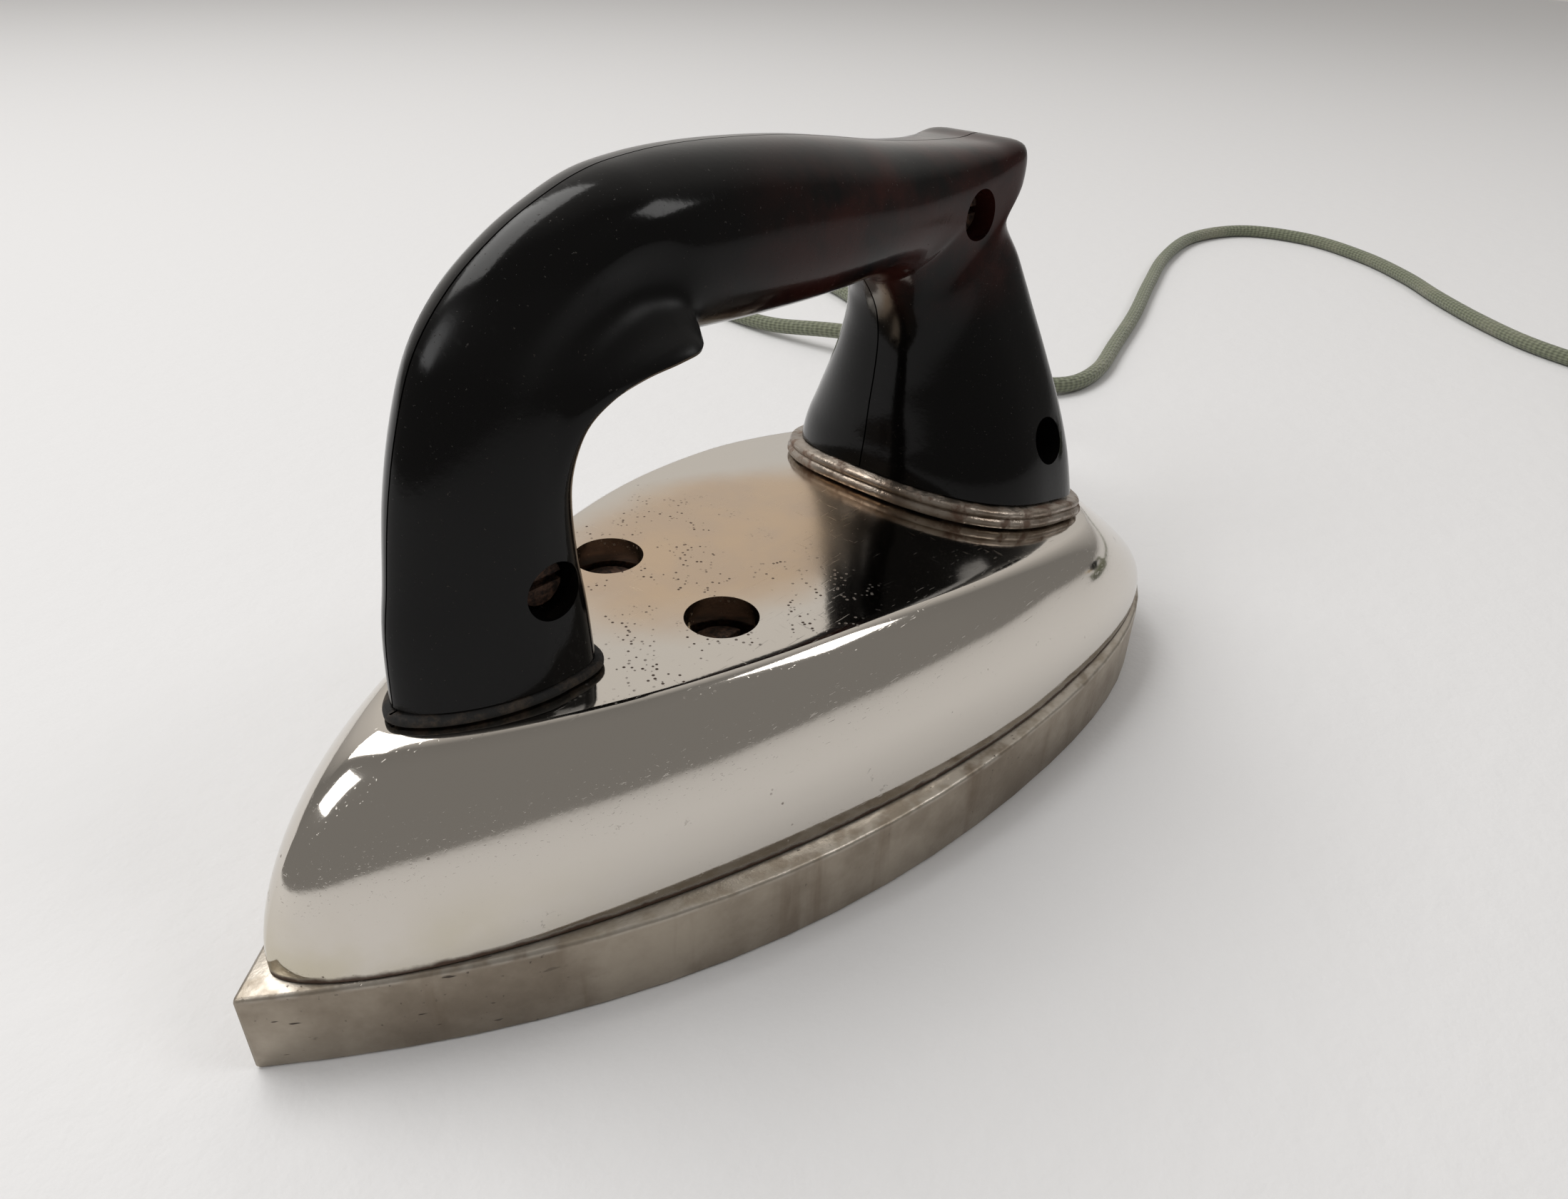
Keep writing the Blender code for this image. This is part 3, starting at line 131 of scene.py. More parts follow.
class Flow:
    """A value inside a material. Arithmetic on it adds the Math nodes."""

    def __init__(self, finish, socket):
        self.finish = finish
        self.socket = socket

    def calculate(self, operation, *values):
        return self.finish.node("ShaderNodeMath", {"operation": operation}, dict(enumerate(values)))

    def __add__(self, other):
        return self.calculate("ADD", self, other)

    def __sub__(self, other):
        return self.calculate("SUBTRACT", self, other)

    def __rsub__(self, other):
        return self.calculate("SUBTRACT", other, self)

    def __mul__(self, other):
        return self.calculate("MULTIPLY", self, other)

    def __truediv__(self, other):
        return self.calculate("DIVIDE", self, other)

    def __pow__(self, other):
        return self.calculate("POWER", self, other)

    def __abs__(self):
        return self.calculate("ABSOLUTE", self)

    __radd__ = __add__
    __rmul__ = __mul__

    def larger(self, other):
        return self.calculate("MAXIMUM", self, other)

    def wave(self):
        return self.calculate("SINE", self)

    def rise(self, low, high):
        """0 below low, 1 above high, and smooth between; falls instead where low is over high."""
        if low < high:
            return self.finish.node("ShaderNodeMapRange", {"interpolation_type": "SMOOTHSTEP"},
                                    {"Value": self, "From Min": low, "From Max": high})
        return 1.0 - self.rise(high, low)


class Finish:
    """One material for one real finish, with its Principled shader."""

    def __init__(self, name, colour, metallic=0.0, roughness=0.5, **fixed):
        self.material = bpy.data.materials.new(name)
        self.material.use_nodes = True
        self.material.diffuse_color = (*colour, 1.0)
        self.tree = self.material.node_tree
        self.shader = self.tree.nodes["Principled BSDF"]
        self.set("Base Color", (*colour, 1.0))
        self.set("Metallic", metallic)
        self.set("Roughness", roughness)
        for socket, value in fixed.items():
            self.set(socket.replace("_", " "), value)

    def put(self, socket, value):
        if isinstance(value, Flow):
            self.tree.links.new(value.socket, socket)
        else:
            socket.default_value = value

    def set(self, name, value):
        self.put(self.shader.inputs[name], value)

    def node(self, kind, settings=None, values=None, output=0):
        made = self.tree.nodes.new(kind)
        for name, value in (settings or {}).items():
            setattr(made, name, value)
        for name, value in (values or {}).items():
            self.put(made.inputs[name], value)
        return Flow(self, made.outputs[output])

    def place(self, stretch=(1.0, 1.0, 1.0), turned=(0.0, 0.0, 0.0)):
        """The place on the piece, stretched and turned for a pattern with a direction."""
        where = self.node("ShaderNodeTexCoord", output="Object")
        return self.node("ShaderNodeMapping", None,
                         {"Vector": where, "Scale": stretch, "Rotation": turned})

    def apart(self, where):
        """The three parts of a place."""
        return [self.node("ShaderNodeSeparateXYZ", None, {"Vector": where}, axis)
                for axis in ("X", "Y", "Z")]

    def noise(self, where, scale, detail=3.0, rough=0.55):
        return self.node("ShaderNodeTexNoise", None,
                         {"Vector": where, "Scale": scale, "Detail": detail, "Roughness": rough},
                         "Fac")

    def cells(self, where, scale):
        return self.node("ShaderNodeTexVoronoi", None, {"Vector": where, "Scale": scale}, "Distance")

    def blend(self, share, first, second):
        """A colour between two colours."""
        made = self.tree.nodes.new("ShaderNodeMix")
        made.data_type = "RGBA"
        self.put(made.inputs[0], share)
        for socket, colour in ((made.inputs[6], first), (made.inputs[7], second)):
            self.put(socket, colour if isinstance(colour, Flow) else (*colour, 1.0))
        return Flow(self, made.outputs[2])

    def relief(self, height, depth):
        """Raises the surface by height, from 0 to 1, times a depth in metres."""
        self.set("Normal", self.node("ShaderNodeBump", None,
                                     {"Height": height, "Distance": depth, "Strength": 1.0}))


def active(piece):
    """Selects one piece and nothing else."""
    bpy.ops.object.select_all(action="DESELECT")
    piece.select_set(True)
    bpy.context.view_layer.objects.active = piece


def smooth_route(points, steps):
    """A Catmull-Rom curve through points, with a number of steps between each two."""
    path = [2 * points[0] - points[1], *points, 2 * points[-1] - points[-2]]
    fine = []
    for k in range(1, len(path) - 2):
        a, b, c, d = path[k - 1:k + 3]
        for i in range(steps):
            t = i / steps
            fine.append(0.5 * (2 * b + (c - a) * t + (2 * a - 5 * b + 4 * c - d) * t**2
                               + (3 * b - a - 3 * c + d) * t**3))
    fine.append(points[-1])
    return fine


def evenly(points, step):
    """The same line with its points an even step apart."""
    total = sum((q - p).length for p, q in zip(points, points[1:]))
    count = round(total / step)
    spread, walked, target = [points[0]], 0.0, total / count
    for p, q in zip(points, points[1:]):
        length = (q - p).length
        while walked + length >= target - 1e-9 and len(spread) < count:
            spread.append(p.lerp(q, (target - walked) / length))
            target += total / count
        walked += length
    spread.append(points[-1])
    return spread, total


def on_coil(angle, radius, height):
    return COIL_CENTRE + Vector((radius * math.cos(angle), radius * math.sin(angle), height))


def ease(share):
    share = min(1.0, max(0.0, share))
    return share * share * (3 - 2 * share)


sleeve_axis = Vector((math.cos(SLEEVE_SLOPE) * math.cos(SLEEVE_YAW),
                      math.cos(SLEEVE_SLOPE) * math.sin(SLEEVE_YAW), -math.sin(SLEEVE_SLOPE)))
cord_exit = SLEEVE_ROOT + sleeve_axis * (SLEEVE_REACH + GAP)
route = [cord_exit, cord_exit + 0.012 * sleeve_axis]
route += [Vector((x - NOSE_TO_MIDDLE, y, z)) for x, y, z in CORD_ROUTE]
outer_turn = COIL_MID_RADIUS + CORD_DIAMETER / 2
inner_turn = COIL_MID_RADIUS - CORD_DIAMETER / 2
low_row = CORD_OVER_FLOOR + CORD_DIAMETER / 2
high_row = low_row + CORD_DIAMETER
coil_wall = COIL_MID_RADIUS + COIL_ROWS * CORD_DIAMETER / 2 + GAP
entry_back = math.sqrt(coil_wall**2 - (outer_turn - CORD_DIAMETER / 2) ** 2)
route.append(COIL_CENTRE + Vector((outer_turn, entry_back, low_row)))
layers = [(outer_turn, low_row), (inner_turn, low_row), (inner_turn, high_row), (outer_turn, high_row)]
plug_back = high_row + CORD_DIAMETER / 2 + GAP + PLUG_HALF_HEIGHT
top_row = high_row + CORD_DIAMETER + GAP
layer_turn = TURNS_PER_LAYER * 2 * math.pi
tail_from = -len(layers) * layer_turn
tail_to = PLUG_TURN - 10 * math.pi
STEPS_PER_TURN = 18
turn_step = 2 * math.pi / STEPS_PER_TURN
CHANGE = math.radians(55.0)  # the turn over which the cord moves to the next layer
angle = 0.0
while angle > tail_from + turn_step / 2:
    spot = -angle / layer_turn
    layer = min(int(spot), len(layers) - 1)
    radius, height = layers[layer]
    if layer + 1 < len(layers):
        move = ease(1 - ((layer + 1) * layer_turn + angle) / (2 * CHANGE))
        radius += move * (layers[layer + 1][0] - radius)
        height += move * (layers[layer + 1][1] - height)
    route.append(on_coil(angle, radius, height))
    angle -= turn_step
TAIL_STEPS = 12
for i in range(1, TAIL_STEPS):
    share = i / TAIL_STEPS
    up = ease(share / 0.7)
    height = high_row + up * (top_row - high_row) + ease((share - 0.4) / 0.6) * (plug_back - top_row)
    radius = outer_turn + up * (COIL_MID_RADIUS - outer_turn)
    route.append(on_coil(tail_from + share * (tail_to - tail_from), radius, height))
plug_axis = Vector((math.sin(PLUG_TURN), -math.cos(PLUG_TURN), 0.0))
route.append(on_coil(PLUG_TURN, COIL_MID_RADIUS, plug_back) - plug_axis * 2 * GAP)
cord_line, cord_length = evenly(smooth_route(route, 8), CORD_DIAMETER * 0.6)

cord_curve = bpy.data.curves.new("braided_cord", "CURVE")
cord_curve.dimensions = "3D"
cord_curve.bevel_depth = CORD_DIAMETER / 2
cord_curve.bevel_resolution = 4
cord_curve.use_fill_caps = True
spline = cord_curve.splines.new("POLY")
spline.points.add(len(cord_line) - 1)
for spot, point in zip(spline.points, cord_line):
    spot.co = (*point, 1.0)
cord = bpy.data.objects.new("braided_cord", cord_curve)
bpy.context.scene.collection.objects.link(cord)
active(cord)
bpy.ops.object.convert(target="MESH")
bpy.ops.object.shade_smooth()

STRANDS_ALONG = 2.6  # crossings for each diameter of length
STRANDS_ROUND = 8
braid = Finish("olive_braid", (0.17, 0.19, 0.12), 0.0, 0.85, Sheen_Weight=0.25)
run, round_it, _ = braid.apart(braid.node("ShaderNodeTexCoord", output="UV"))
along = run * (cord_length / CORD_DIAMETER * STRANDS_ALONG * math.pi)
turned = round_it * (STRANDS_ROUND * 2 * math.pi)
rising = (along + turned).wave()
falling = (along - turned).wave()
weave = (rising * falling + 1.0) * 0.5
over = rising.larger(falling) * 0.5 + 0.5
spread = braid.noise(braid.place(), 700.0, 4.0)
patches = braid.noise(braid.place(), 35.0, 3.0)
strand = braid.blend(weave, (0.085, 0.095, 0.060), (0.235, 0.255, 0.170))
faded = braid.blend(patches.rise(0.45, 0.70) * 0.5, strand, (0.27, 0.26, 0.19))
braid.set("Base Color", braid.blend(spread.rise(0.60, 0.75) * 0.5, faded, (0.33, 0.34, 0.26)))
braid.set("Roughness", 0.75 + spread * 0.2)
braid.relief(over * 0.8 + spread * 0.3, 0.00035)
cord.data.materials.clear()
cord.data.materials.append(braid.material)
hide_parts("cord_lead", "cord_coil", "cord_tail")
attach(cord, "root")


# ---------------------------------------------------------------- sole
# A thick iron casting, ground flat and nickelled. Its upright sides are dull and brown with age,
# the top edge is polished bright by use and also painted lighter as a highlight, and the nose has
# short dark gouges.
def finer(name, node, finish, angle=35.0, bevel=0.0):
    """A copy of a CAD node with its points merged, its edges eased and its surface smooth."""
    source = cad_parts[node]
    piece = source.copy()
    piece.data = source.data.copy()
    piece.name = name
    bpy.context.scene.collection.objects.link(piece)
    active(piece)
    bpy.ops.object.mode_set(mode="EDIT")
    bpy.ops.mesh.select_all(action="SELECT")
    bpy.ops.mesh.remove_doubles(threshold=0.00001)
    bpy.ops.object.mode_set(mode="OBJECT")
    if bevel:
        ease_edges = piece.modifiers.new("eased_edges", "BEVEL")
        ease_edges.width = bevel
        ease_edges.segments = 3
        ease_edges.limit_method = "ANGLE"
        ease_edges.angle_limit = math.radians(angle)
        bpy.ops.object.modifier_apply(modifier=ease_edges.name)
    bpy.ops.object.shade_smooth_by_angle(angle=math.radians(angle))
    piece.data.materials.clear()
    piece.data.materials.append(finish.material)
    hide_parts(node)
    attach(piece, "root")
    return piece


nickel = Finish("worn_nickel", (0.42, 0.38, 0.32), 0.9, 0.42)
here = nickel.place()
_, _, up = nickel.apart(here)
nose_way, _, _ = nickel.apart(here)
mottle = nickel.noise(here, 55.0, 5.0, 0.6)
fine_grain = nickel.noise(here, 1400.0, 3.0)
runs = nickel.noise(nickel.place(stretch=(1.0, 1.0, 0.12)), 160.0, 4.0)
bare = nickel.blend(mottle.rise(0.30, 0.70), (0.40, 0.35, 0.285), (0.24, 0.20, 0.155))
stained = nickel.blend(runs.rise(0.52, 0.74) * 0.55, bare, (0.17, 0.125, 0.085))
# painted highlight: the band along the top edge is made lighter, partly polish from use and partly a
# painted highlight
rubbed_and_highlight = up.rise(0.0138, 0.0149) * nickel.noise(here, 220.0, 3.0).rise(0.35, 0.60)
worn_and_highlit = nickel.blend(rubbed_and_highlight * 0.6, stained, (0.62, 0.58, 0.52))
knocks = nickel.noise(nickel.place(stretch=(0.5, 0.5, 1.6), turned=(0.0, 0.5, 0.6)), 420.0, 2.0)
gouges = knocks.rise(0.70, 0.74) * nose_way.rise(-0.060, -0.085)
foxing = nickel.noise(here, 900.0, 4.0).rise(0.66, 0.76) * mottle.rise(0.40, 0.60)
dirt = gouges.larger(foxing * 0.7)
nickel.set("Base Color", nickel.blend(dirt, worn_and_highlit, (0.055, 0.040, 0.030)))
nickel.set("Metallic", 0.92 - dirt * 0.7)
nickel.set("Roughness", (0.30 + mottle * 0.22 + fine_grain * 0.10 + dirt * 0.3 - rubbed_and_highlight * 0.12))
nickel.relief(fine_grain * 0.25 + runs * 0.2 - dirt * 0.8, 0.00018)
finer("sole", "soleplate", nickel, 30.0)

# ---------------------------------------------------------------- heater stack
# Between sole and shell, out of sight: a resistance strip between two mica sheets, a soft board
# and a heavy iron plate, all drawn down by the nuts on the two studs.
def dress(finish, *nodes):
    """Gives CAD nodes their material."""
    for node in nodes:
        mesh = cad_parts[node].data
        mesh.materials.clear()
        mesh.materials.append(finish.material)


mica = Finish("split_mica", (0.62, 0.55, 0.42), 0.0, 0.30)
flakes = mica.cells(mica.place(stretch=(1.0, 1.0, 8.0)), 120.0)
mica.set("Base Color", mica.blend(flakes.rise(0.1, 0.7), (0.70, 0.63, 0.48), (0.42, 0.34, 0.22)))
mica.relief(flakes, 0.0001)
dress(mica, "mica_sheet_lower", "mica_sheet_upper")
strip = Finish("resistance_strip", (0.40, 0.37, 0.33), 0.8, 0.40)
across, _, _ = strip.apart(strip.place())
windings = (across * 1800.0).wave()
strip.set("Base Color", strip.blend(windings.rise(-0.3, 0.3), (0.60, 0.54, 0.42), (0.30, 0.28, 0.27)))
strip.relief(windings.rise(-0.3, 0.3), 0.0003)
dress(strip, "heating_element", "element_lead_1", "element_lead_2")
board = Finish("mill_board", (0.70, 0.69, 0.65), 0.0, 0.90)
fibres = board.noise(board.place(stretch=(1.0, 3.0, 1.0)), 500.0, 5.0)
board.set("Base Color", board.blend(fibres.rise(0.3, 0.7), (0.75, 0.74, 0.70), (0.52, 0.50, 0.45)))
board.relief(fibres, 0.0003)
dress(board, "insulation_pad")
casting = Finish("black_casting", (0.10, 0.09, 0.085), 0.9, 0.60)
sand = casting.noise(casting.place(), 900.0, 5.0)
casting.set("Base Color", casting.blend(sand.rise(0.4, 0.7), (0.09, 0.08, 0.075), (0.20, 0.12, 0.07)))
casting.set("Roughness", 0.5 + sand * 0.3)
casting.relief(sand, 0.0004)
dress(casting, "pressure_plate")
steel = Finish("plain_steel", (0.45, 0.43, 0.40), 1.0, 0.35)
drawn = steel.noise(steel.place(stretch=(1.0, 1.0, 0.2)), 1600.0, 3.0)
steel.set("Base Color", steel.blend(drawn.rise(0.55, 0.75), (0.46, 0.44, 0.41), (0.26, 0.19, 0.13)))
steel.set("Roughness", 0.25 + drawn * 0.25)
steel.relief(drawn, 0.00008)
dress(steel, "stud_left", "stud_right", "clamp_nut_left", "clamp_nut_right", "handle_nut_front",
      "handle_nut_rear_upper", "handle_nut_rear_lower", "front_bracket", "rear_bracket",
      "front_bracket_rivet", "rear_left_bracket_rivet", "rear_right_bracket_rivet", "plug_screw")

# ---------------------------------------------------------------- shell
# One sheet of steel pressed to a dome and chromed. The deck behind the front foot is tinted tan
# by heat and freckled with rust, and a brown line of rust runs along its lower edge. The lower wall
# towards the nose carries a painted yellowish reflection of the table.
chrome = Finish("worn_chrome", (0.62, 0.60, 0.56), 1.0, 0.08)
here = chrome.place()
back_way, side_way, up = chrome.apart(here)
cloud = chrome.noise(here, 38.0, 4.0)
grain = chrome.noise(here, 900.0, 3.0)
hot = ((back_way + 0.004) / 0.040) ** 2.0 + ((side_way - 0.004) / 0.026) ** 2.0
tan = (hot + cloud * 0.9).rise(1.55, 0.75) * up.rise(0.0400, 0.0435)
burnt = tan * chrome.noise(here, 95.0, 4.0).rise(0.35, 0.62)
warm = chrome.blend(tan * 0.85, (0.66, 0.62, 0.565), (0.60, 0.44, 0.29))
warm = chrome.blend(burnt * 0.35, warm, (0.50, 0.41, 0.34))
# painted reflection: the lower wall towards the nose is tinted yellowish for the pale table mirrored in
# it
painted_table_reflection = back_way.rise(-0.040, -0.100) * up.rise(0.032, 0.018) * cloud.rise(0.35, 0.6)
warm = chrome.blend(painted_table_reflection * 0.45, warm, (0.50, 0.44, 0.27))
near_studs = (((back_way + 0.0234) / 0.022) ** 2.0 + ((abs(side_way) - 0.0138) / 0.018) ** 2.0)
freckles = (chrome.cells(here, 980.0).rise(0.30, 0.18)
            * chrome.noise(here, 190.0, 3.0).rise(0.50, 0.60)
            * near_studs.rise(2.2, 0.6) * up.rise(0.0435, 0.0450))
pits = chrome.cells(here, 330.0).rise(0.10, 0.04) * chrome.noise(here, 60.0, 2.0).rise(0.56, 0.66)
edge_rust = (up + chrome.noise(here, 300.0, 4.0) * 0.0016).rise(0.0174, 0.0163)
blotch = chrome.noise(here, 240.0, 5.0, 0.7).rise(0.665, 0.70) * up.rise(0.044, 0.036)
rust = freckles.larger(pits * 0.8).larger(edge_rust).larger(blotch * 0.20)
chrome.set("Base Color", chrome.blend(rust, warm, (0.075, 0.042, 0.026)))
chrome.set("Metallic", 1.0 - rust * 0.8)
hair = chrome.noise(chrome.place(stretch=(0.05, 1.0, 1.0), turned=(0.0, 0.15, 0.2)), 2600.0, 2.0)
hair_two = chrome.noise(chrome.place(stretch=(1.0, 0.06, 1.0), turned=(0.3, 0.0, 0.5)), 2200.0, 2.0)
scratches = hair.rise(0.66, 0.74).larger(hair_two.rise(0.68, 0.76))
chrome.set("Roughness", (0.055 + cloud * 0.05 + tan * 0.16 + scratches * 0.12 + rust * 0.55))
chrome.relief(chrome.noise(here, 26.0, 2.0) * 1.0 + grain * 0.02 - rust * 0.05 - scratches * 0.02,
              0.00030)


def bezier(a, b, c, d, t):
    s = 1 - t
    return [s**3 * a[k] + 3 * s**2 * t * b[k] + 3 * s * t**2 * c[k] + t**3 * d[k] for k in (0, 1)]


def boat(nose, heel, half_width, nose_pull, heel_pull):
    """A boat-shaped outline, nose first, round the right side, the heel and the left side."""
    scale = half_width / SOLE_HALF_WIDTH
    forward = SIDE_PULL_FORWARD * (WIDEST - nose) / WIDEST
    back = SIDE_PULL_BACK * (heel - WIDEST) / (SOLE_LENGTH - WIDEST)
    side = [(nose, 0.0), (nose + nose_pull[0], nose_pull[1]), (WIDEST - forward, half_width),
            (WIDEST, half_width)]
    stern = [(WIDEST, half_width), (WIDEST + back, half_width), (heel, heel_pull * scale), (heel, 0.0)]
    half = [bezier(*side, (i / SIDE_POINTS) ** 1.5) for i in range(SIDE_POINTS)]
    half += [bezier(*stern, i / SIDE_POINTS) for i in range(SIDE_POINTS + 1)]
    around = [(x - NOSE_TO_MIDDLE, -y) for x, y in half]
    return around + [(x - NOSE_TO_MIDDLE, y) for x, y in reversed(half[1:-1])]


def deck_fall(x, y):
    """How much lower the deck is at a place than over its flat front."""
    from_nose = x + NOSE_TO_MIDDLE
    come_in = ease((from_nose - CROWN_STARTS[0]) / CROWN_STARTS[1])
    crown = DECK_CROWN * come_in * (1 - math.cos(math.pi * min(1.0, abs(y) / CROWN_REACH))) / 2
    return crown + DECK_FALL * max(0.0, (from_nose - FALL_START) / (SOLE_LENGTH - FALL_START)) ** 2


def shell_ring(share, ridge, inset):
    """One level of the shell: share runs up the shoulder, then ridge runs in over the deck."""
    curve = 1 - (1 - share**SHOULDER_POWER) ** (1 / SHOULDER_POWER)
    nose, side, heel = (depth * curve + inset for depth in SHOULDER_DEPTHS)
    half_width = SOLE_HALF_WIDTH - LEDGE - side
    half_width += ridge * (RIDGE_HALF_WIDTH - half_width)
    scale = half_width / (SOLE_HALF_WIDTH - LEDGE)
    outline = boat(SHELL_NOSE_LEDGE + nose + ridge * RIDGE_RUN,
                   SOLE_LENGTH - SHELL_HEEL_LEDGE - heel - ridge * RIDGE_RUN, half_width,
                   [pull * scale for pull in SHELL_NOSE_PULL], SHELL_HEEL_PULL)
    start = DECK - SHOULDER_DROP - inset
    return [(x, y, start + share * (SHOULDER_DROP - deck_fall(x, y))) for x, y in outline]


def closed_mesh(name, points, faces, finish=None):
    """A new piece from points and faces, with its faces turned outwards."""
    mesh = bpy.data.meshes.new(name)
    mesh.from_pydata(points, [], faces)
    piece = bpy.data.objects.new(name, mesh)
    bpy.context.scene.collection.objects.link(piece)
    active(piece)
    bpy.ops.object.mode_set(mode="EDIT")
    bpy.ops.mesh.select_all(action="SELECT")
    bpy.ops.mesh.normals_make_consistent(inside=False)
    bpy.ops.object.mode_set(mode="OBJECT")
    if finish:
        mesh.materials.append(finish.material)
    return piece


def skinned(name, rings, finish=None, mirrored_cap=False):
    """A closed piece whose skin runs through rings of equally many points."""
    count, last = len(rings[0]), (len(rings) - 1) * len(rings[0])
    faces = [(k + i, k + (i + 1) % count, k + count + (i + 1) % count, k + count + i)
             for k in range(0, last, count) for i in range(count)]
    faces.append(tuple(reversed(range(count))))
    if mirrored_cap:
        half = count // 2
        faces.append((last, last + 1, last + count - 1))
        faces += [(last + i, last + i + 1, last + count - i - 1, last + count - i)
                  for i in range(1, half - 1)]
        faces.append((last + half - 1, last + half, last + half + 1))
    else:
        faces.append(tuple(range(last, last + count)))
    return closed_mesh(name, [point for ring in rings for point in ring], faces, finish)


def cut_with(piece, cutter, operation="DIFFERENCE"):
    """Cuts one piece with another, which is then thrown away."""
    active(piece)
    change = piece.modifiers.new("cut", "BOOLEAN")
    change.operation = operation
    change.object = cutter
    bpy.ops.object.modifier_apply(modifier=change.name)
    bpy.data.objects.remove(cutter)


def pillar(name, x, y, radius, low, high, sides=64):
    """An upright round cutter."""
    bpy.ops.object.select_all(action="DESELECT")
    bpy.ops.mesh.primitive_cylinder_add(vertices=sides, radius=radius, depth=high - low,
                                        location=(x, y, (low + high) / 2))
    made = bpy.context.active_object
    made.name = name
    return made


def block(name, low, high):
    """A square cutter between two corners."""
    bpy.ops.object.select_all(action="DESELECT")
    middle = [(a + b) / 2 for a, b in zip(low, high)]
    bpy.ops.mesh.primitive_cube_add(size=1.0, location=middle)
    made = bpy.context.active_object
    made.name = name
    made.scale = [b - a for a, b in zip(low, high)]
    active(made)
    bpy.ops.object.transform_apply(location=True, rotation=False, scale=True)
    return made


def shell_form(name, inset, low, finish=None):
    """The shell's outer face, drawn in or grown by an inset, closed down to a low end."""
    rings = [[(x, y, low) for x, y, _ in shell_ring(0.0, 0.0, inset)]]
    rings += [shell_ring(math.sin(math.pi / 2 * i / SHOULDER_STEPS), 0.0, inset)
              for i in range(SHOULDER_STEPS + 1)]
    rings += [shell_ring(1.0, i / RIDGE_STEPS, inset) for i in range(1, RIDGE_STEPS + 1)]
    return skinned(name, rings, finish, mirrored_cap=True)


SOLE_LENGTH = 0.208
SOLE_HALF_WIDTH = 0.049
WIDEST = 0.137
SOLE_THICKNESS = 0.015
SIDE_PULL_FORWARD = 0.060
SIDE_PULL_BACK = 0.046
SIDE_POINTS = 48
LEDGE = 0.0023
SHELL_NOSE_LEDGE = 0.0059
SHELL_HEEL_LEDGE = 0.0018
SHELL_NOSE_PULL = (0.0018, 0.015)
SHELL_HEEL_PULL = 0.0412
SHELL_WALL = 0.001
SHOULDER_DEPTHS = (0.0224, 0.0104, 0.0205)
SHOULDER_DROP = 0.0285
SHOULDER_POWER = 1.61
SHOULDER_STEPS = 28
DECK_CROWN = 0.0041
CROWN_REACH = 0.040
CROWN_STARTS = (0.092, 0.060)
DECK_FALL = 0.021
FALL_START = 0.125
RIDGE_HALF_WIDTH = 0.0030
RIDGE_RUN = 0.026
RIDGE_STEPS = 18
DECK = 0.0455
WELL_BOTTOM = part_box("shell_nut_left")[0].z - GAP
WELLS = [(-0.0234, -0.0138), (-0.0234, 0.0138)]
WELL_RADIUS = 0.0061
FLOOR_UNDER_WELL = 0.001
WELL_WALL = 0.0009
STUD_HOLE = 0.0033
RIVET_HOLE = 0.0018
UNDER_WELLS, UNDER_DECK, OVER_DECK = 0.020, 0.022, 0.060  # where the cutters start and end
shell = shell_form("chromed_shell", 0.0, SOLE_THICKNESS + GAP, chrome)
hollow = shell_form("hollow", SHELL_WALL, SOLE_THICKNESS / 2)
for x, y in WELLS:
    cut_with(hollow, pillar("cup", x, y, WELL_RADIUS + WELL_WALL, WELL_BOTTOM - FLOOR_UNDER_WELL,
                            OVER_DECK))
cut_with(shell, hollow)
for x, y in WELLS:
    cut_with(shell, pillar("well", x, y, WELL_RADIUS, WELL_BOTTOM, OVER_DECK))
    cut_with(shell, pillar("stud_hole", x, y, STUD_HOLE, UNDER_WELLS, OVER_DECK, 32))
OPENING_FRONT, OPENING_BACK, OPENING_HALF_WIDTH = 0.0332, 0.0632, 0.0122
TAB_FRONT, TAB_BACK, TAB_HALF_WIDTH = -0.0583, -0.0477, 0.0013
cut_with(shell, block("terminal_opening", (OPENING_FRONT, -OPENING_HALF_WIDTH, UNDER_DECK),
                      (OPENING_BACK, OPENING_HALF_WIDTH, OVER_DECK)))
cut_with(shell, block("tab_slot", (TAB_FRONT, -TAB_HALF_WIDTH, UNDER_DECK),
                      (TAB_BACK, TAB_HALF_WIDTH, OVER_DECK)))
for rivet in ("front_bracket_rivet", "rear_left_bracket_rivet", "rear_right_bracket_rivet"):
    rivet_low, rivet_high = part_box(rivet)
    x, y = (rivet_low.x + rivet_high.x) / 2, (rivet_low.y + rivet_high.y) / 2
    cut_with(shell, pillar("rivet_hole", x, y, RIVET_HOLE, UNDER_DECK, OVER_DECK, 24))
active(shell)
bpy.ops.object.shade_smooth_by_angle(angle=math.radians(35.0))
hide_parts("shell")
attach(shell, "root")

# ---------------------------------------------------------------- stud nuts
# Slotted round steel nuts at the bottom of the two wells in the deck, turned down on the studs.
# They are rusted, and so are the handle's three screws, deep in their counterbores; their colours are
# made darker still as painted shade for the wells and counterbores.
rust_finish_with_painted_shade = Finish("rusty_steel", (0.16, 0.09, 0.06), 0.6, 0.65)
here = rust_finish_with_painted_shade.place()
crust = rust_finish_with_painted_shade.noise(here, 1300.0, 5.0, 0.65)
# painted shade: the rust colours are darkened to stand for the shade deep in the wells and counterbores
rust_finish_with_painted_shade.set("Base Color", rust_finish_with_painted_shade.blend(crust.rise(0.35, 0.65),
                                    (0.022, 0.017, 0.015), (0.085, 0.042, 0.024)))
rust_finish_with_painted_shade.set("Metallic", 0.7 - crust.rise(0.4, 0.7) * 0.6)
rust_finish_with_painted_shade.set("Roughness", 0.40 + crust * 0.45)
rust_finish_with_painted_shade.relief(crust, 0.0003)
for node in ("shell_nut_left", "shell_nut_right", "handle_screw_front", "handle_screw_rear_upper",
             "handle_screw_rear_lower"):
    finer(node + "_rusted_painted_shade", node, rust_finish_with_painted_shade, 35.0, 0.00025)

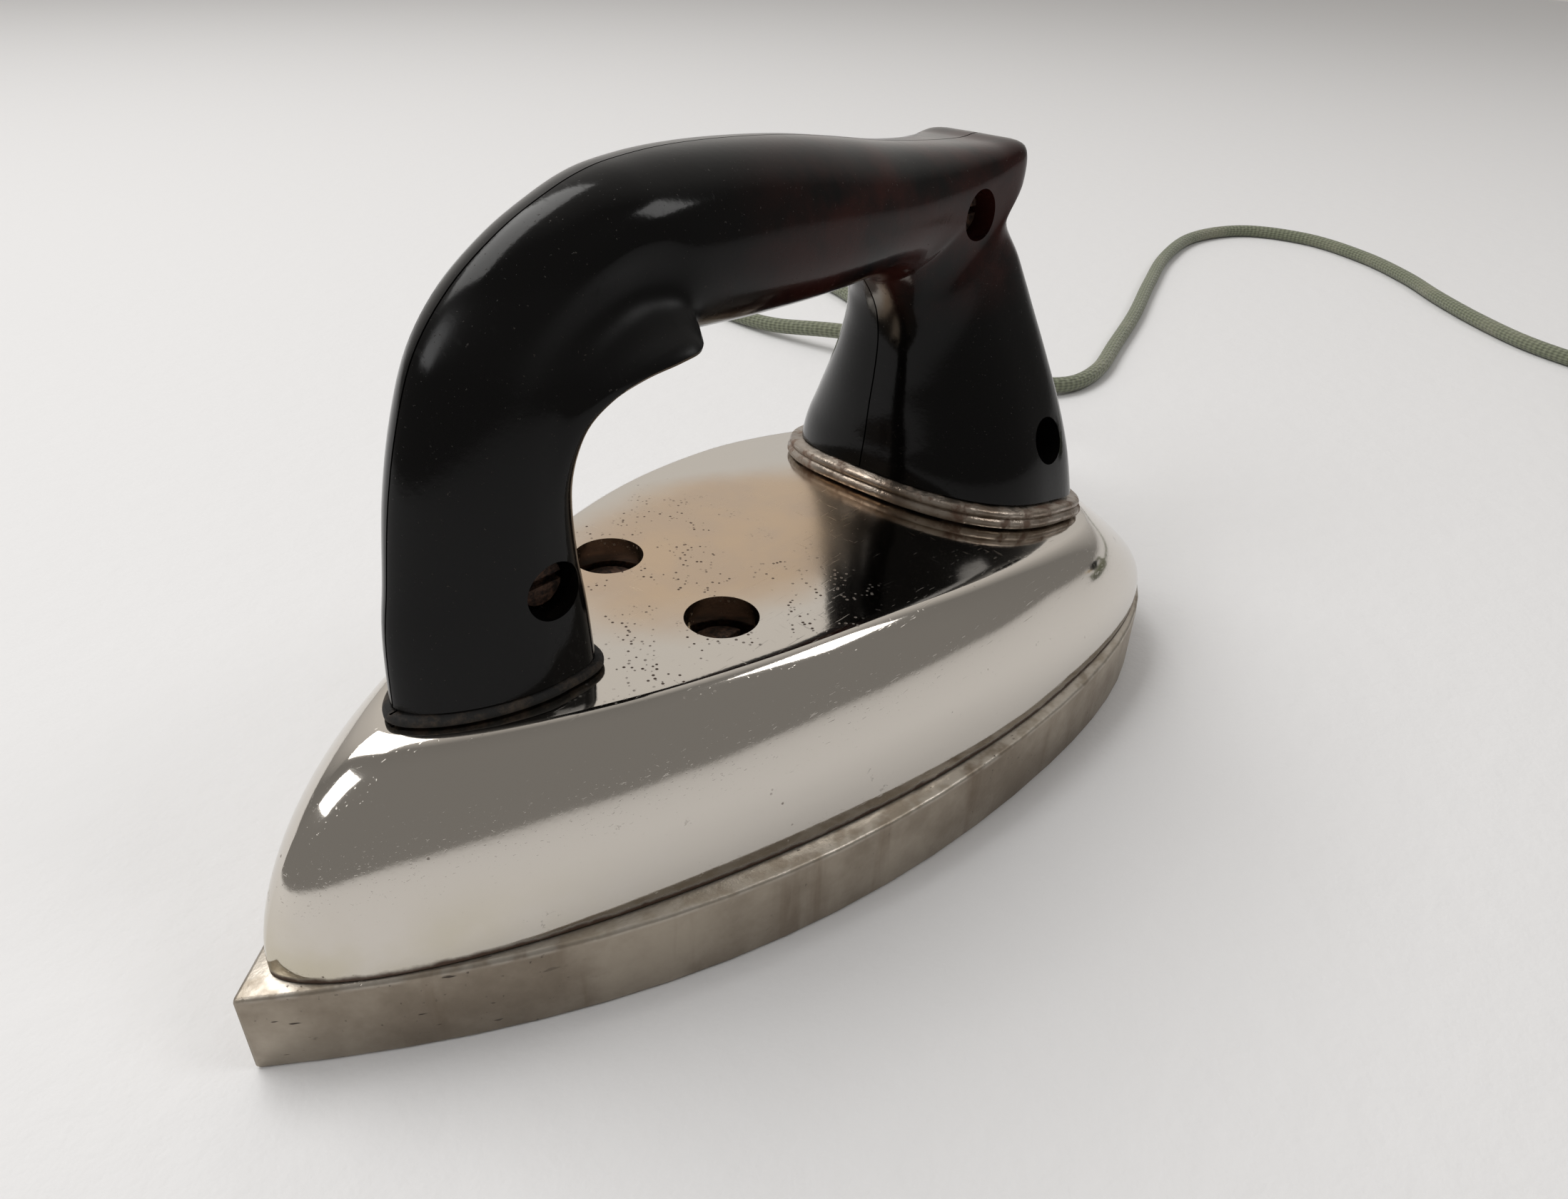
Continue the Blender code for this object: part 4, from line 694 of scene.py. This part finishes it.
# ---------------------------------------------------------------- handle
# Two hollow mouldings of black phenolic, parted along the middle and screwed together over the
# brackets. They are polished, with a matt scoop over each thumb rest.
bakelite = Finish("black_moulding", (0.012, 0.012, 0.013), 0.0, 0.16, IOR=1.45,
                  Specular_IOR_Level=0.20)
here = bakelite.place()
back_way, side_way, up = bakelite.apart(here)
smear = bakelite.noise(here, 70.0, 4.0)
dust = bakelite.noise(here, 2300.0, 2.0).rise(0.70, 0.76)
# painted highlight: a faint brown sheen is painted into the colour over the upper rear of the grip
brown = (((back_way - 0.030) / 0.045) ** 2.0 + ((up - 0.100) / 0.018) ** 2.0).rise(1.6, 0.2)
ground = bakelite.blend(brown * smear.rise(0.35, 0.6) * 0.8, (0.0030, 0.0028, 0.0028),
                        (0.034, 0.008, 0.006))
bakelite.set("Base Color", bakelite.blend(dust * 0.4, ground, (0.08, 0.07, 0.06)))
scoop = (((back_way + 0.040) / 0.022) ** 2.0 + ((up - 0.0965) / 0.0065) ** 2.0).rise(1.5, 0.3)
scratched = bakelite.noise(bakelite.place(stretch=(1.0, 0.1, 0.4), turned=(0.2, 0.6, 0.0)), 1500.0, 2.0)
bakelite.set("Roughness", (0.06 + smear * 0.12 + scoop * 0.24 + dust * 0.25
                           + scratched.rise(0.62, 0.75) * 0.10))
bakelite.relief(bakelite.noise(here, 1100.0, 2.0) * 0.10 + smear * 0.5 + dust * 0.2, 0.00010)


def section(outer, inner, half_width, widest, outer_power, inner_power, bulge=0.0, scoop=0.0):
    """Half a cross-section of the handle, from the outer seam edge round to the inner one."""
    points = []
    for i in range(SECTION_POINTS):
        share = (1 - math.cos(math.pi * i / (SECTION_POINTS - 1))) / 2
        reach, power = (widest, outer_power) if share < widest else (1 - widest, inner_power)
        y = half_width * max(0.0, 1 - (abs(share - widest) / reach) ** power) ** (1 / power)
        y += bulge * math.exp(-(((share - 0.84) / 0.13) ** 2))
        y -= scoop * math.exp(-(((share - 0.50) / 0.18) ** 2))
        x, z = (a + share * (b - a) for a, b in zip(outer, inner))
        points.append((x - NOSE_TO_MIDDLE, max(y, 0.0) + SEAM_HALF_GAP, z))
    return points


def between(rows, steps):
    """Rows of numbers with more rows between them, on smooth curves."""
    padded = [rows[0], *rows, rows[-1]]
    fine = []
    for a, b, c, d in zip(padded, padded[1:], padded[2:], padded[3:]):
        for i in range(steps):
            t = i / steps
            fine.append([(2 * q + (r - p) * t + (2 * p - 5 * q + 4 * r - s) * t**2
                          + (3 * q - p - 3 * r + s) * t**3) / 2 for p, q, r, s in zip(a, b, c, d)])
    return fine + [list(rows[-1])]


SECTION_POINTS = 41
STATION_STEPS = 6
SEAM_HALF_GAP = 0.00015
# outer and inner point from the nose and above the table, half width, where it is widest, how
# square its outer and inner ends are, and the thumb rest's lip and hollow
STATIONS = [
    (0.0300, 0.0350, 0.0600, 0.0350, 0.0113, 0.67, 1.60, 5.0, 0.0, 0.0),
    (0.0312, 0.0560, 0.0588, 0.0560, 0.0113, 0.66, 1.60, 4.5, 0.0, 0.0),
    (0.0330, 0.0660, 0.0578, 0.0660, 0.0113, 0.66, 1.60, 4.0, 0.0, 0.0),
    (0.0352, 0.0770, 0.0580, 0.0760, 0.0113, 0.66, 1.65, 3.4, 0.0004, 0.0),
    (0.0382, 0.0870, 0.0604, 0.0830, 0.0114, 0.64, 1.65, 3.0, 0.0016, 0.0002),
    (0.0420, 0.0953, 0.0636, 0.0866, 0.0116, 0.62, 1.65, 2.8, 0.0036, 0.0008),
    (0.0480, 0.1020, 0.0674, 0.0884, 0.0118, 0.58, 1.70, 2.6, 0.0060, 0.0016),
    (0.0560, 0.1074, 0.0712, 0.0892, 0.0120, 0.55, 1.75, 2.5, 0.0080, 0.0022),
    (0.0640, 0.1110, 0.0742, 0.0894, 0.0122, 0.52, 1.80, 2.4, 0.0082, 0.0024),
    (0.0702, 0.1129, 0.0766, 0.0896, 0.0124, 0.50, 1.90, 2.3, 0.0050, 0.0016),
    (0.0760, 0.1137, 0.0788, 0.0897, 0.0125, 0.50, 2.00, 2.4, 0.0008, 0.0004),
    (0.0840, 0.1141, 0.0845, 0.0893, 0.0126, 0.50, 2.10, 2.4, 0.0, 0.0),
    (0.0950, 0.1138, 0.0945, 0.0887, 0.0128, 0.50, 2.20, 2.4, 0.0, 0.0),
    (0.1080, 0.1128, 0.1060, 0.0884, 0.0128, 0.50, 2.20, 2.4, 0.0, 0.0),
    (0.1200, 0.1112, 0.1150, 0.0885, 0.0126, 0.50, 2.20, 2.4, 0.0, 0.0),
    (0.1330, 0.1092, 0.1225, 0.0888, 0.0122, 0.50, 2.40, 2.4, 0.0, 0.0),
    (0.1470, 0.1077, 0.1270, 0.0882, 0.0118, 0.48, 3.20, 2.4, 0.0, 0.0),
    (0.1560, 0.1071, 0.1290, 0.0874, 0.0117, 0.46, 5.00, 2.5, 0.0, 0.0),
    (0.1626, 0.1070, 0.1302, 0.0866, 0.0117, 0.46, 7.00, 2.5, 0.0, 0.0),
    (0.1632, 0.1018, 0.1332, 0.0828, 0.0119, 0.44, 6.00, 2.5, 0.0, 0.0),
    (0.1588, 0.0962, 0.1350, 0.0790, 0.0126, 0.42, 4.00, 2.5, 0.0, 0.0),
    (0.1632, 0.0885, 0.1358, 0.0740, 0.0144, 0.41, 3.80, 2.4, 0.0, 0.0),
    (0.1671, 0.0790, 0.1354, 0.0680, 0.0170, 0.40, 3.80, 2.3, 0.0, 0.0),
    (0.1701, 0.0700, 0.1345, 0.0620, 0.0201, 0.40, 3.80, 2.2, 0.0, 0.0),
    (0.1726, 0.0600, 0.1338, 0.0555, 0.0237, 0.40, 3.80, 2.2, 0.0, 0.0),
    (0.1746, 0.0490, 0.1328, 0.0490, 0.0270, 0.40, 3.80, 2.2, 0.0, 0.0),
    (0.1768, 0.0350, 0.1316, 0.0350, 0.0296, 0.40, 3.80, 2.2, 0.0, 0.0),
]
GASKET_THICKNESS = 0.0016
COLLAR_THICKNESS = 0.0036
COUNTERBORE_RADIUS = 0.0044
SCREW_BORE = 0.0023
RIVET_POCKET = 0.0029
CLEAR = 0.2  # well past the iron on every side
REACH = 0.05  # well past the handle on either side
TAB_SLOT_BOTTOM, TAB_SLOT_TOP = 0.0300, 0.0683
FOOT_LOW = 0.0347
# the hollow in the rear foot: heights with the share of its taper, and how far its front, back
# and sides draw in
CAVITY_LEVELS = ((FOOT_LOW, 0.0), (0.0600, 0.0), (0.0790, 1.0))
CAVITY_TAPER = (0.0030, 0.0085, 0.0060)
# each handle screw's place over the middle of the sole, and how deep its counterbore goes
SCREWS = [(-0.0530, 0.0625, 0.0052), (0.0430, 0.0970, 0.0056), (0.0560, 0.0545, 0.0165)]


def cross_bar(x, z, radius, y_from, y_to, sides):
    """A round cutter that lies across the handle."""
    bpy.ops.object.select_all(action="DESELECT")
    bpy.ops.mesh.primitive_cylinder_add(vertices=sides, radius=radius, depth=abs(y_to - y_from),
                                        location=(x, (y_from + y_to) / 2, z),
                                        rotation=(math.pi / 2, 0.0, 0.0))
    return bpy.context.active_object


def handle_half(name, node, sign):
    rows = [section(row[0:2], row[2:4], *row[4:]) for row in between(STATIONS, STATION_STEPS)]
    half = skinned(name, [[(x, sign * y, z) for x, y, z in row] for row in rows], bakelite)
    for sheet, front, back in ((GASKET_THICKNESS, -CLEAR, 0.0), (COLLAR_THICKNESS, 0.0, CLEAR)):
        seat = shell_form("seat", -(sheet + 2 * GAP), SOLE_THICKNESS)
        cut_with(seat, block("seat_end", (front, -CLEAR, 0.0), (back, CLEAR, CLEAR)), "INTERSECT")
        cut_with(half, seat)
    cut_with(half, block("tab_slot", (TAB_FRONT, -TAB_HALF_WIDTH, TAB_SLOT_BOTTOM),
                         (TAB_BACK, TAB_HALF_WIDTH, TAB_SLOT_TOP)))
    hollow_rings = []
    for z, taper in CAVITY_LEVELS:
        front = OPENING_FRONT + GAP + taper * CAVITY_TAPER[0]
        back = OPENING_BACK - GAP - taper * CAVITY_TAPER[1]
        side = OPENING_HALF_WIDTH - taper * CAVITY_TAPER[2]
        hollow_rings.append([(front, -side, z), (back, -side, z), (back, side, z), (front, side, z)])
    cut_with(half, skinned("cavity", hollow_rings))
    for x, z, seat in SCREWS:
        cut_with(half, cross_bar(x, z, SCREW_BORE, -REACH, REACH, 32))
        cut_with(half, cross_bar(x, z, COUNTERBORE_RADIUS, sign * seat, sign * REACH, 64))
    side_name = "left" if sign < 0 else "right"
    rivet_low, rivet_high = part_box(f"rear_{side_name}_bracket_rivet")
    x, y = (rivet_low.x + rivet_high.x) / 2, (rivet_low.y + rivet_high.y) / 2
    cut_with(half, pillar("rivet_pocket", x, y, RIVET_POCKET, FOOT_LOW, rivet_high.z + GAP, 24))
    sleeve_turn = sleeve_axis.to_track_quat("Z", "Y").to_euler()
    for radius, start, end in SLEEVE_SEATS:
        bpy.ops.object.select_all(action="DESELECT")
        bpy.ops.mesh.primitive_cylinder_add(vertices=48, radius=radius, depth=end - start,
                                            location=SLEEVE_ROOT + sleeve_axis * (start + end) / 2,
                                            rotation=sleeve_turn)
        cut_with(half, bpy.context.active_object)
    active(half)
    bpy.ops.object.shade_smooth_by_angle(angle=math.radians(40.0))
    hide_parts(node)
    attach(half, "root")


# the sleeve's seat: radius, and from where to where along the sleeve
SLEEVE_SEATS = [(0.0049, -0.0090, 0.0043), (0.0061, 0.0042, 0.0320)]
handle_half("handle_left", "handle_left_half", -1)
handle_half("handle_right", "handle_right_half", 1)

# ---------------------------------------------------------------- rings under the feet
# Each foot stands on a ring that follows the deck: a rolled nickelled one with two beads at the
# back, and a thin strip of fibre, black with grime, at the front.
fibre = Finish("black_fibre", (0.03, 0.03, 0.03), 0.0, 0.80)
here = fibre.place()
grime = fibre.noise(here, 420.0, 5.0, 0.65)
fibre.set("Base Color", fibre.blend(grime.rise(0.45, 0.70),
                                    (0.010, 0.0095, 0.009), (0.055, 0.040, 0.028)))
fibre.relief(grime, 0.0005)
bead = Finish("ring_nickel", (0.34, 0.29, 0.24), 0.9, 0.40)
here = bead.place()
crust = bead.noise(here, 260.0, 5.0, 0.62)
_, _, up = bead.apart(here)
dull = bead.blend(bead.noise(here, 90.0, 4.0).rise(0.35, 0.65), (0.40, 0.35, 0.30), (0.22, 0.17, 0.13))
bead.set("Base Color", bead.blend(crust.rise(0.52, 0.66) * 0.8, dull, (0.12, 0.062, 0.036)))
bead.set("Metallic", 0.9 - crust.rise(0.52, 0.66) * 0.7)
bead.set("Roughness", 0.28 + crust.rise(0.45, 0.66) * 0.45)
bead.relief(crust, 0.0004)


def deck_height(x, y):
    """The top of the shell under a place."""
    found, place, _, _ = shell.ray_cast((x, y, 0.2), (0.0, 0.0, -1.0))
    return place.z if found else DECK


def foot_ring(name, node, row, profile, finish):
    """Sweeps a profile of (outward, upward) points round the lower end of a foot."""
    half = section((row[0], 0.0), (row[2], 0.0), *row[4:8])
    outline = [Vector((x, -y, 0.0)) for x, y, _ in half[:-1]]
    outline += [Vector((x, y, 0.0)) for x, y, _ in reversed(half[1:])]
    middle = sum(outline, Vector()) / len(outline)
    rings = []
    for before, here, after in zip([outline[-1], *outline], outline, [*outline[1:], outline[0]]):
        along = (after - before).normalized()
        outward = Vector((along.y, -along.x, 0.0))
        if outward.dot(here - middle) < 0:
            outward = -outward
        ring = []
        for out, up in profile:
            spot = here + outward * out
            base = here + outward * profile[1][0]
            ring.append((spot.x, spot.y, deck_height(base.x, base.y) + GAP + up))
        rings.append(ring)
    count = len(profile)
    points = [point for ring in rings for point in ring]
    faces = []
    for k in range(len(rings)):
        for i in range(count):
            j, n = (i + 1) % count, (k + 1) % len(rings)
            faces.append((k * count + i, k * count + j, n * count + j, n * count + i))
    piece = closed_mesh(name, points, faces, finish)
    bpy.ops.object.shade_smooth_by_angle(angle=math.radians(50.0))
    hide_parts(node)
    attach(piece, "root")


# outward from the foot and upward from the deck
COLLAR_PROFILE = [(-0.0055, 0.0000), (0.0008, 0.0000), (0.0013, 0.0003), (0.0015, 0.0008),
                  (0.0014, 0.0014), (0.0010, 0.0018), (0.0006, 0.0020), (0.0009, 0.0023),
                  (0.0010, 0.0027), (0.0008, 0.0032), (0.0003, 0.0035), (-0.0055, 0.0036)]
GASKET_PROFILE = [(-0.0040, 0.0000), (0.0003, 0.0000), (0.0006, 0.0004), (0.0006, 0.0010),
                  (0.0002, 0.0015), (-0.0040, 0.0016)]
foot_ring("collar_bead", "rear_collar_ring", STATIONS[-1], COLLAR_PROFILE, bead)
foot_ring("front_gasket", "front_seat_gasket", STATIONS[0], GASKET_PROFILE, fibre)

# ---------------------------------------------------------------- terminals
# A white porcelain block with two brass screws, where the cord meets the heater's leads. It is
# hidden in the hollow of the rear foot.
porcelain = Finish("white_porcelain", (0.80, 0.78, 0.72), 0.0, 0.22, Coat_Weight=0.6)
specks = porcelain.noise(porcelain.place(), 1500.0, 3.0).rise(0.68, 0.74)
porcelain.set("Base Color", porcelain.blend(specks, (0.80, 0.78, 0.72), (0.32, 0.27, 0.20)))
porcelain.relief(specks, 0.00005)
dress(porcelain, "terminal_block")
brass = Finish("turned_brass", (0.62, 0.45, 0.18), 1.0, 0.28)
lathe = brass.noise(brass.place(stretch=(1.0, 1.0, 0.3)), 1900.0, 3.0)
brass.set("Base Color", brass.blend(lathe.rise(0.5, 0.75), (0.66, 0.48, 0.20), (0.34, 0.22, 0.10)))
brass.set("Roughness", 0.20 + lathe * 0.25)
brass.relief(lathe, 0.00006)
dress(brass, "terminal_screw_1", "terminal_screw_2")
plug_pieces = [finer(node + "_turned", node, brass, 35.0)
               for node in ("plug_pin_1", "plug_pin_2")]

# ---------------------------------------------------------------- cord's ends
# A soft black rubber sleeve guards the cord at the handle. At the far end is a two-pin plug of
# two black mouldings, and a scrap of the same braid ties the spare turns.
rubber = Finish("black_rubber", (0.03, 0.03, 0.032), 0.0, 0.60)
bloom = rubber.noise(rubber.place(), 600.0, 4.0)
rubber.set("Base Color", rubber.blend(bloom.rise(0.45, 0.70),
                                      (0.022, 0.022, 0.024), (0.075, 0.072, 0.068)))
rubber.set("Roughness", 0.45 + bloom * 0.3)
rubber.relief(bloom, 0.0002)
finer("rubber_sleeve", "cord_sleeve", rubber, 35.0, 0.0004)
plug_pieces += [finer(node + "_moulding", node, bakelite, 38.0, 0.0004)
                for node in ("plug_half_lower", "plug_half_upper")]
tie_braid = Finish("tie_braid", (0.20, 0.21, 0.14), 0.0, 0.85, Sheen_Weight=0.2)
here = tie_braid.place(turned=(0.0, 0.0, 0.785))
ribs_x, ribs_y, ribs_z = tie_braid.apart(here)
ribs = (ribs_x * 5200.0).wave() * ((ribs_y + ribs_z) * 5200.0).wave() * 0.5 + 0.5
tie_braid.set("Base Color", tie_braid.blend(ribs, (0.11, 0.12, 0.08), (0.26, 0.27, 0.19)))
tie_braid.relief(ribs, 0.0004)
tie = finer("tie", "coil_tie", tie_braid, 35.0, 0.0004)

# ---------------------------------------------------------------- table and light
# A plain pale table top under three soft lamps: the window high behind the iron, and weaker ones
# at its nose and near side. The room is bright behind the iron and dim on the viewer's side.
bpy.ops.object.select_all(action="DESELECT")
bpy.ops.mesh.primitive_plane_add(size=6.0, location=(0.0, 0.0, -0.00002))
table = bpy.context.active_object
table.name = "table"
paper = Finish("pale_table", (0.78, 0.78, 0.79), 0.0, 0.65)
here = paper.place()
paper.relief(paper.noise(here, 120.0, 4.0) * 0.6 + paper.noise(here, 900.0, 2.0) * 0.1, 0.0006)
table.data.materials.append(paper.material)


BRIGHT_WALL = (0.55, 0.62, 0.56)  # the way to the room's bright side
ROOM = [(0.0, 0.24), (0.45, 0.22), (0.72, 0.56), (1.0, 0.72)]


def soft_lamp(name, place, aim, size, power, colour):
    data = bpy.data.lights.new(name, "AREA")
    data.shape = "RECTANGLE"
    data.size, data.size_y = size
    data.energy = power
    data.color = colour
    lamp = bpy.data.objects.new(name, data)
    bpy.context.scene.collection.objects.link(lamp)
    lamp.location = place
    lamp.rotation_euler = (Vector(aim) - Vector(place)).to_track_quat("-Z", "Y").to_euler()


soft_lamp("window_lamp", (-0.20, 0.85, 1.55), (0.0, 0.0, 0.04), (1.2, 0.9), 16.5, (1.0, 0.99, 0.97))
soft_lamp("side_lamp", (-1.1, 0.25, 0.9), (0.0, 0.0, 0.04), (0.5, 0.5), 4.0, (1.0, 1.0, 1.0))
soft_lamp("near_lamp", (0.70, -0.90, 1.4), (0.0, 0.0, 0.04), (0.5, 0.5), 4.0, (1.0, 0.99, 0.98))
world = bpy.data.worlds.new("room")
world.use_nodes = True
bpy.context.scene.world = world
room = world.node_tree
sky = room.nodes["Background"]
ways = room.nodes.new("ShaderNodeTexCoord")
facing = room.nodes.new("ShaderNodeVectorMath")
facing.operation = "DOT_PRODUCT"
facing.inputs[1].default_value = BRIGHT_WALL
ramp = room.nodes.new("ShaderNodeValToRGB")
room.links.new(ways.outputs["Generated"], facing.inputs[0])
room.links.new(facing.outputs["Value"], ramp.inputs[0])
room.links.new(ramp.outputs[0], sky.inputs["Color"])
while len(ramp.color_ramp.elements) < len(ROOM):
    ramp.color_ramp.elements.new(0.5)
for stop, (height, grey) in zip(ramp.color_ramp.elements, ROOM):
    stop.position = height
    stop.color = (grey, grey * 0.96, grey * 0.91, 1.0)
sky.inputs["Strength"].default_value = 1.0
bpy.context.scene.view_settings.view_transform = "Standard"
